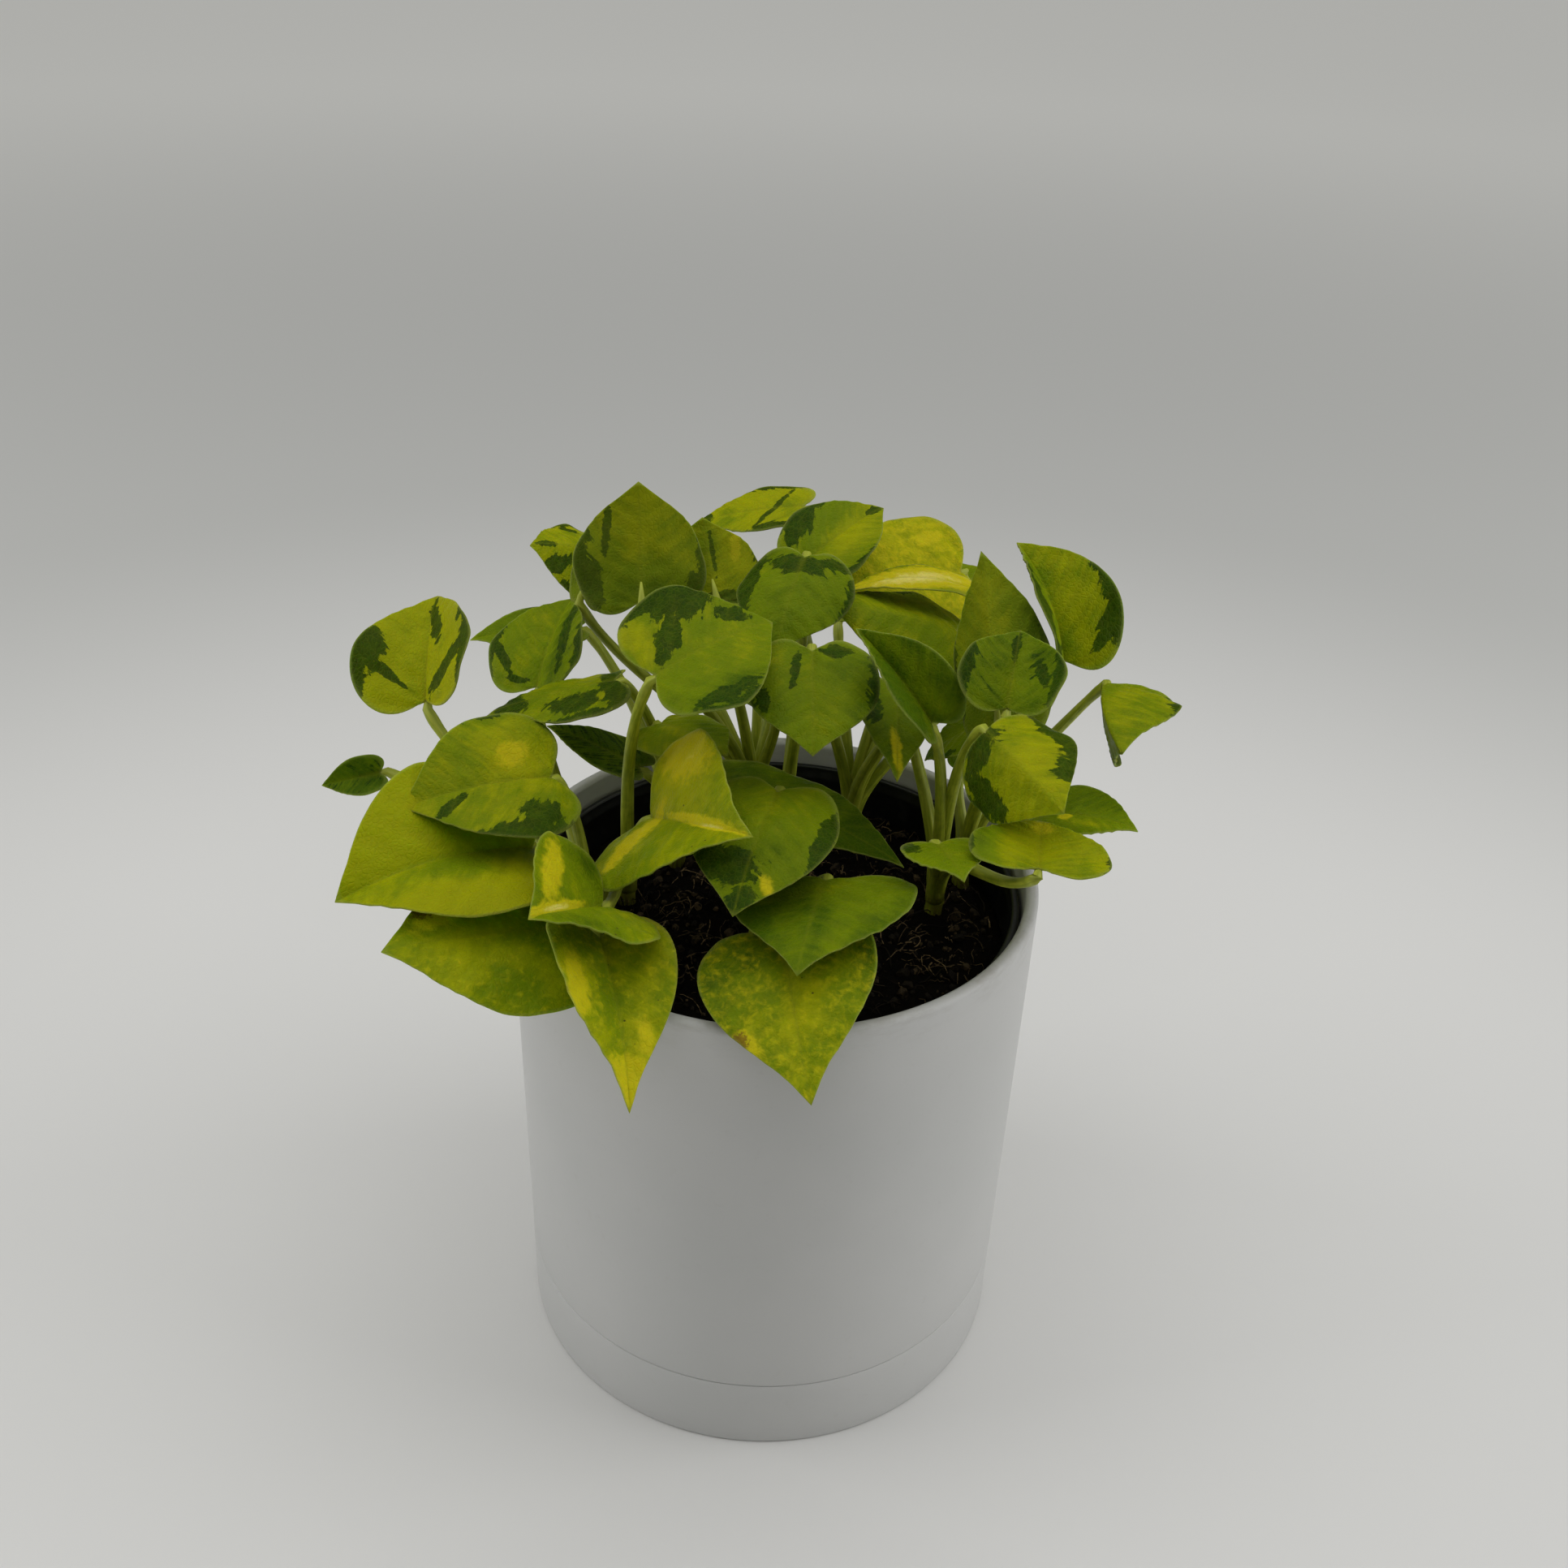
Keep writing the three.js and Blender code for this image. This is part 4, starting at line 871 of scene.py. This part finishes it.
def build_stems(name, at, height, leaves, material):
    x, y = at
    surface = soil_height(math.hypot(x, y)) - POT_HEIGHT
    parts = []

    z = np.linspace(surface - 8, surface + height, VINE_STEPS)
    rise = (z - surface) / height
    knots = 0.35 * np.exp(-((rise - 0.3) / 0.05) ** 2) + 0.3 * np.exp(-((rise - 0.75) / 0.05) ** 2)
    rounding = 1.2 * np.clip((rise - 0.93) / 0.07, 0, 1) ** 2
    radii = VINE_R * (1 - 0.16 * np.clip(rise, 0, 1)) + knots - rounding
    wander = 0.4 * np.sin(rise * 3 + x)
    line = np.stack([x + wander, y + 0.4 * np.cos(rise * 2.4 + y), z], 1)
    body, faces, around, far = tube(line, radii, VINE_SIDES, up=(1, 0.2, 0))
    parts.append((body, faces, around, far, np.zeros(len(body)), np.zeros(len(body)),
                  np.clip(0.9 - (body[:, 2] - surface) / 10, 0.1, 0.9)))

    for i, leaf in enumerate(leaves):
        base, _, along, _, up = leaf_axes(leaf[0], leaf[1], leaf[3])
        tilt = radians_of(leaf[6]) / 2
        forward = along * math.cos(tilt) + up * math.sin(tilt)
        end = base - forward * PETIOLE_END_GAP
        foot = np.array([x, y, surface + height * (0.35 + 0.5 * i / len(leaves))])
        way = end - foot
        reach = np.linalg.norm(way)
        rise = np.array([way[0] * 0.12, way[1] * 0.12, reach * 0.35])
        arrival = unit(3 * way / reach + forward)
        t = np.linspace(0, 1, PETIOLE_STEPS)
        line = bezier(foot, foot + rise, end - arrival * reach * 0.3, end, t)
        under = up * math.cos(tilt) - along * math.sin(tilt)
        line -= under * (np.clip((t - 0.8) / 0.2, 0, 1) ** 2)[:, None]
        # the stalk runs on under the blade, into its midrib
        extra = [end + forward * PETIOLE_END_GAP - under * 1.2,
                 end + forward * 4.5 - under * 1.1, end + forward * 8 - under * 0.8]
        line = np.concatenate([line, extra])
        s = np.concatenate([t, [1.02, 1.05, 1.1]])
        radii = PETIOLE_FOOT_R + (PETIOLE_TOP_R - PETIOLE_FOOT_R) * np.minimum(s, 1)
        radii += 0.7 * np.exp(-(s * reach / 7) ** 2) + 0.28 * np.exp(-((s - 0.95) * reach / 3.5) ** 2)
        radii[-3:] = [1.1, 0.8, 0.3]
        body, faces, around, far = tube(line, radii, PETIOLE_SIDES, groove=0.22)
        lip = np.exp(-((from_top(around) - 0.75) / 0.25) ** 2)
        young = np.clip((far / far.max() - 0.80) / 0.2, 0, 1)
        parts.append((body, faces, around, far, lip, young, 0.5 * np.exp(-far / 5)))

    points, faces, run, groove, young, bark = [], [], [], [], [], []
    total = 0
    for i, (body, part_faces, around, far, lip, new, old) in enumerate(parts):
        points.append(body)
        faces += [[total + k for k in f] for f in part_faces]
        total += len(body)
        run.append(np.stack([np.cos(around) * 2 + i * 9, far, np.sin(around) * 2], 1))
        groove.append(lip)
        young.append(new)
        bark.append(old)
    points = np.concatenate(points)
    points[:, 2] += POT_HEIGHT
    piece("stems_" + name, points, faces, material, ["vine_" + name],
          {"run": np.concatenate(run), "groove": np.concatenate(groove), "young": np.concatenate(young),
           "bark": np.concatenate(bark)})


# ---- Stage ----
def build_stage():
    s = Shader("backdrop", Roughness=0.75)
    p = s.position()
    away = s.add("VectorMath", {0: p}, operation="LENGTH").outputs["Value"]
    pale = s.mix(s.noise(p, 3.0, 2.0), FLOOR_PALE, FLOOR_BRIGHT)
    # painted light and shade: the floor darkens in a ring 0.3 to 0.8 m from the middle and pales again
    # past 0.9 m, standing in for the fall of light rather than its own colour
    near = s.mix(s.span(away, 0.30, 0.80), pale, FLOOR_PAINTED_SHADE)
    s.set("Base Color", s.mix(s.span(away, 0.9, 2.9), near, FLOOR_FAR_PAINTED_LIGHT))
    mesh = bpy.data.meshes.new("floor")
    size = 12.0
    corners = [(-size, -size, 0), (size, -size, 0), (size, size, 0), (-size, size, 0)]
    mesh.from_pydata(corners, [], [(0, 1, 2, 3)])
    mesh.materials.append(s.material)
    floor = bpy.data.objects.new("floor", mesh)
    bpy.context.scene.collection.objects.link(floor)


def build_light(name, place, aim, size, power):
    data = bpy.data.lights.new(name, "AREA")
    data.shape = "RECTANGLE"
    data.size, data.size_y = size
    data.energy = power
    light = bpy.data.objects.new(name, data)
    light.location = place
    light.rotation_euler = (Vector(aim) - Vector(place)).to_track_quat("-Z", "Y").to_euler()
    bpy.context.scene.collection.objects.link(light)


def build_sky():
    """A soft dome of light: bright overhead, dim towards the horizon."""
    world = bpy.data.worlds.new("studio")
    world.use_nodes = True
    tree = world.node_tree
    ground = tree.nodes["Background"]
    direction = tree.nodes.new("ShaderNodeTexCoord").outputs["Generated"]
    split = tree.nodes.new("ShaderNodeSeparateXYZ")
    tree.links.new(direction, split.inputs[0])
    ramp = tree.nodes.new("ShaderNodeMapRange")
    ramp.interpolation_type = "SMOOTHSTEP"
    for socket, value in zip(("From Min", "From Max", "To Min", "To Max"), (0.5, 0.95, 0.05, 1.05)):
        ramp.inputs[socket].default_value = value
    tree.links.new(split.outputs["Z"], ramp.inputs["Value"])
    tree.links.new(ramp.outputs[0], ground.inputs["Strength"])
    ground.inputs["Color"].default_value = SKY
    bpy.context.scene.world = world


def build_camera():
    pitch, roll = math.radians(CAMERA_PITCH), math.radians(CAMERA_ROLL)
    ahead = Vector((0, math.cos(pitch), -math.sin(pitch)))
    right, up = Vector((1, 0, 0)), Vector((0, math.sin(pitch), math.cos(pitch)))
    r = right * math.cos(roll) + up * math.sin(roll)
    u = up * math.cos(roll) - right * math.sin(roll)
    data = bpy.data.cameras.new("camera")
    data.sensor_width, data.lens = SENSOR, LENS
    camera = bpy.data.objects.new("camera", data)
    turn = Matrix((r, u, -ahead)).transposed().to_4x4()
    camera.matrix_world = Matrix.Translation(CAMERA_PLACE) @ turn
    bpy.context.scene.collection.objects.link(camera)
    bpy.context.scene.camera = camera


build_camera()
build_stage()
build_light("overhead", (0.0, 0.25, 1.7), (0, 0.05, 0), (1.2, 1.0), 2.6)
build_light("side_left", (-1.45, -0.05, 0.60), (0, 0, 0.1), (0.9, 0.9), 6.0)
build_light("side_right", (1.45, -0.05, 0.60), (0, 0, 0.1), (0.9, 0.9), 7.0)
build_sky()
bpy.context.scene.view_settings.view_transform = "Standard"

build_pots()
build_soil()
coir = fibre_material()
build_crumbs(coir)
build_fibres(coir)
skin, stalk = leaf_material(), stem_material()
for cutting, (at, height, leaves) in CUTTINGS.items():
    build_stems(cutting, at, height, leaves, stalk)
    for i, leaf in enumerate(leaves):
        build_blade(f"{cutting}{i + 1}", leaf, LOOKS[f"{cutting}{i + 1}"], skin)
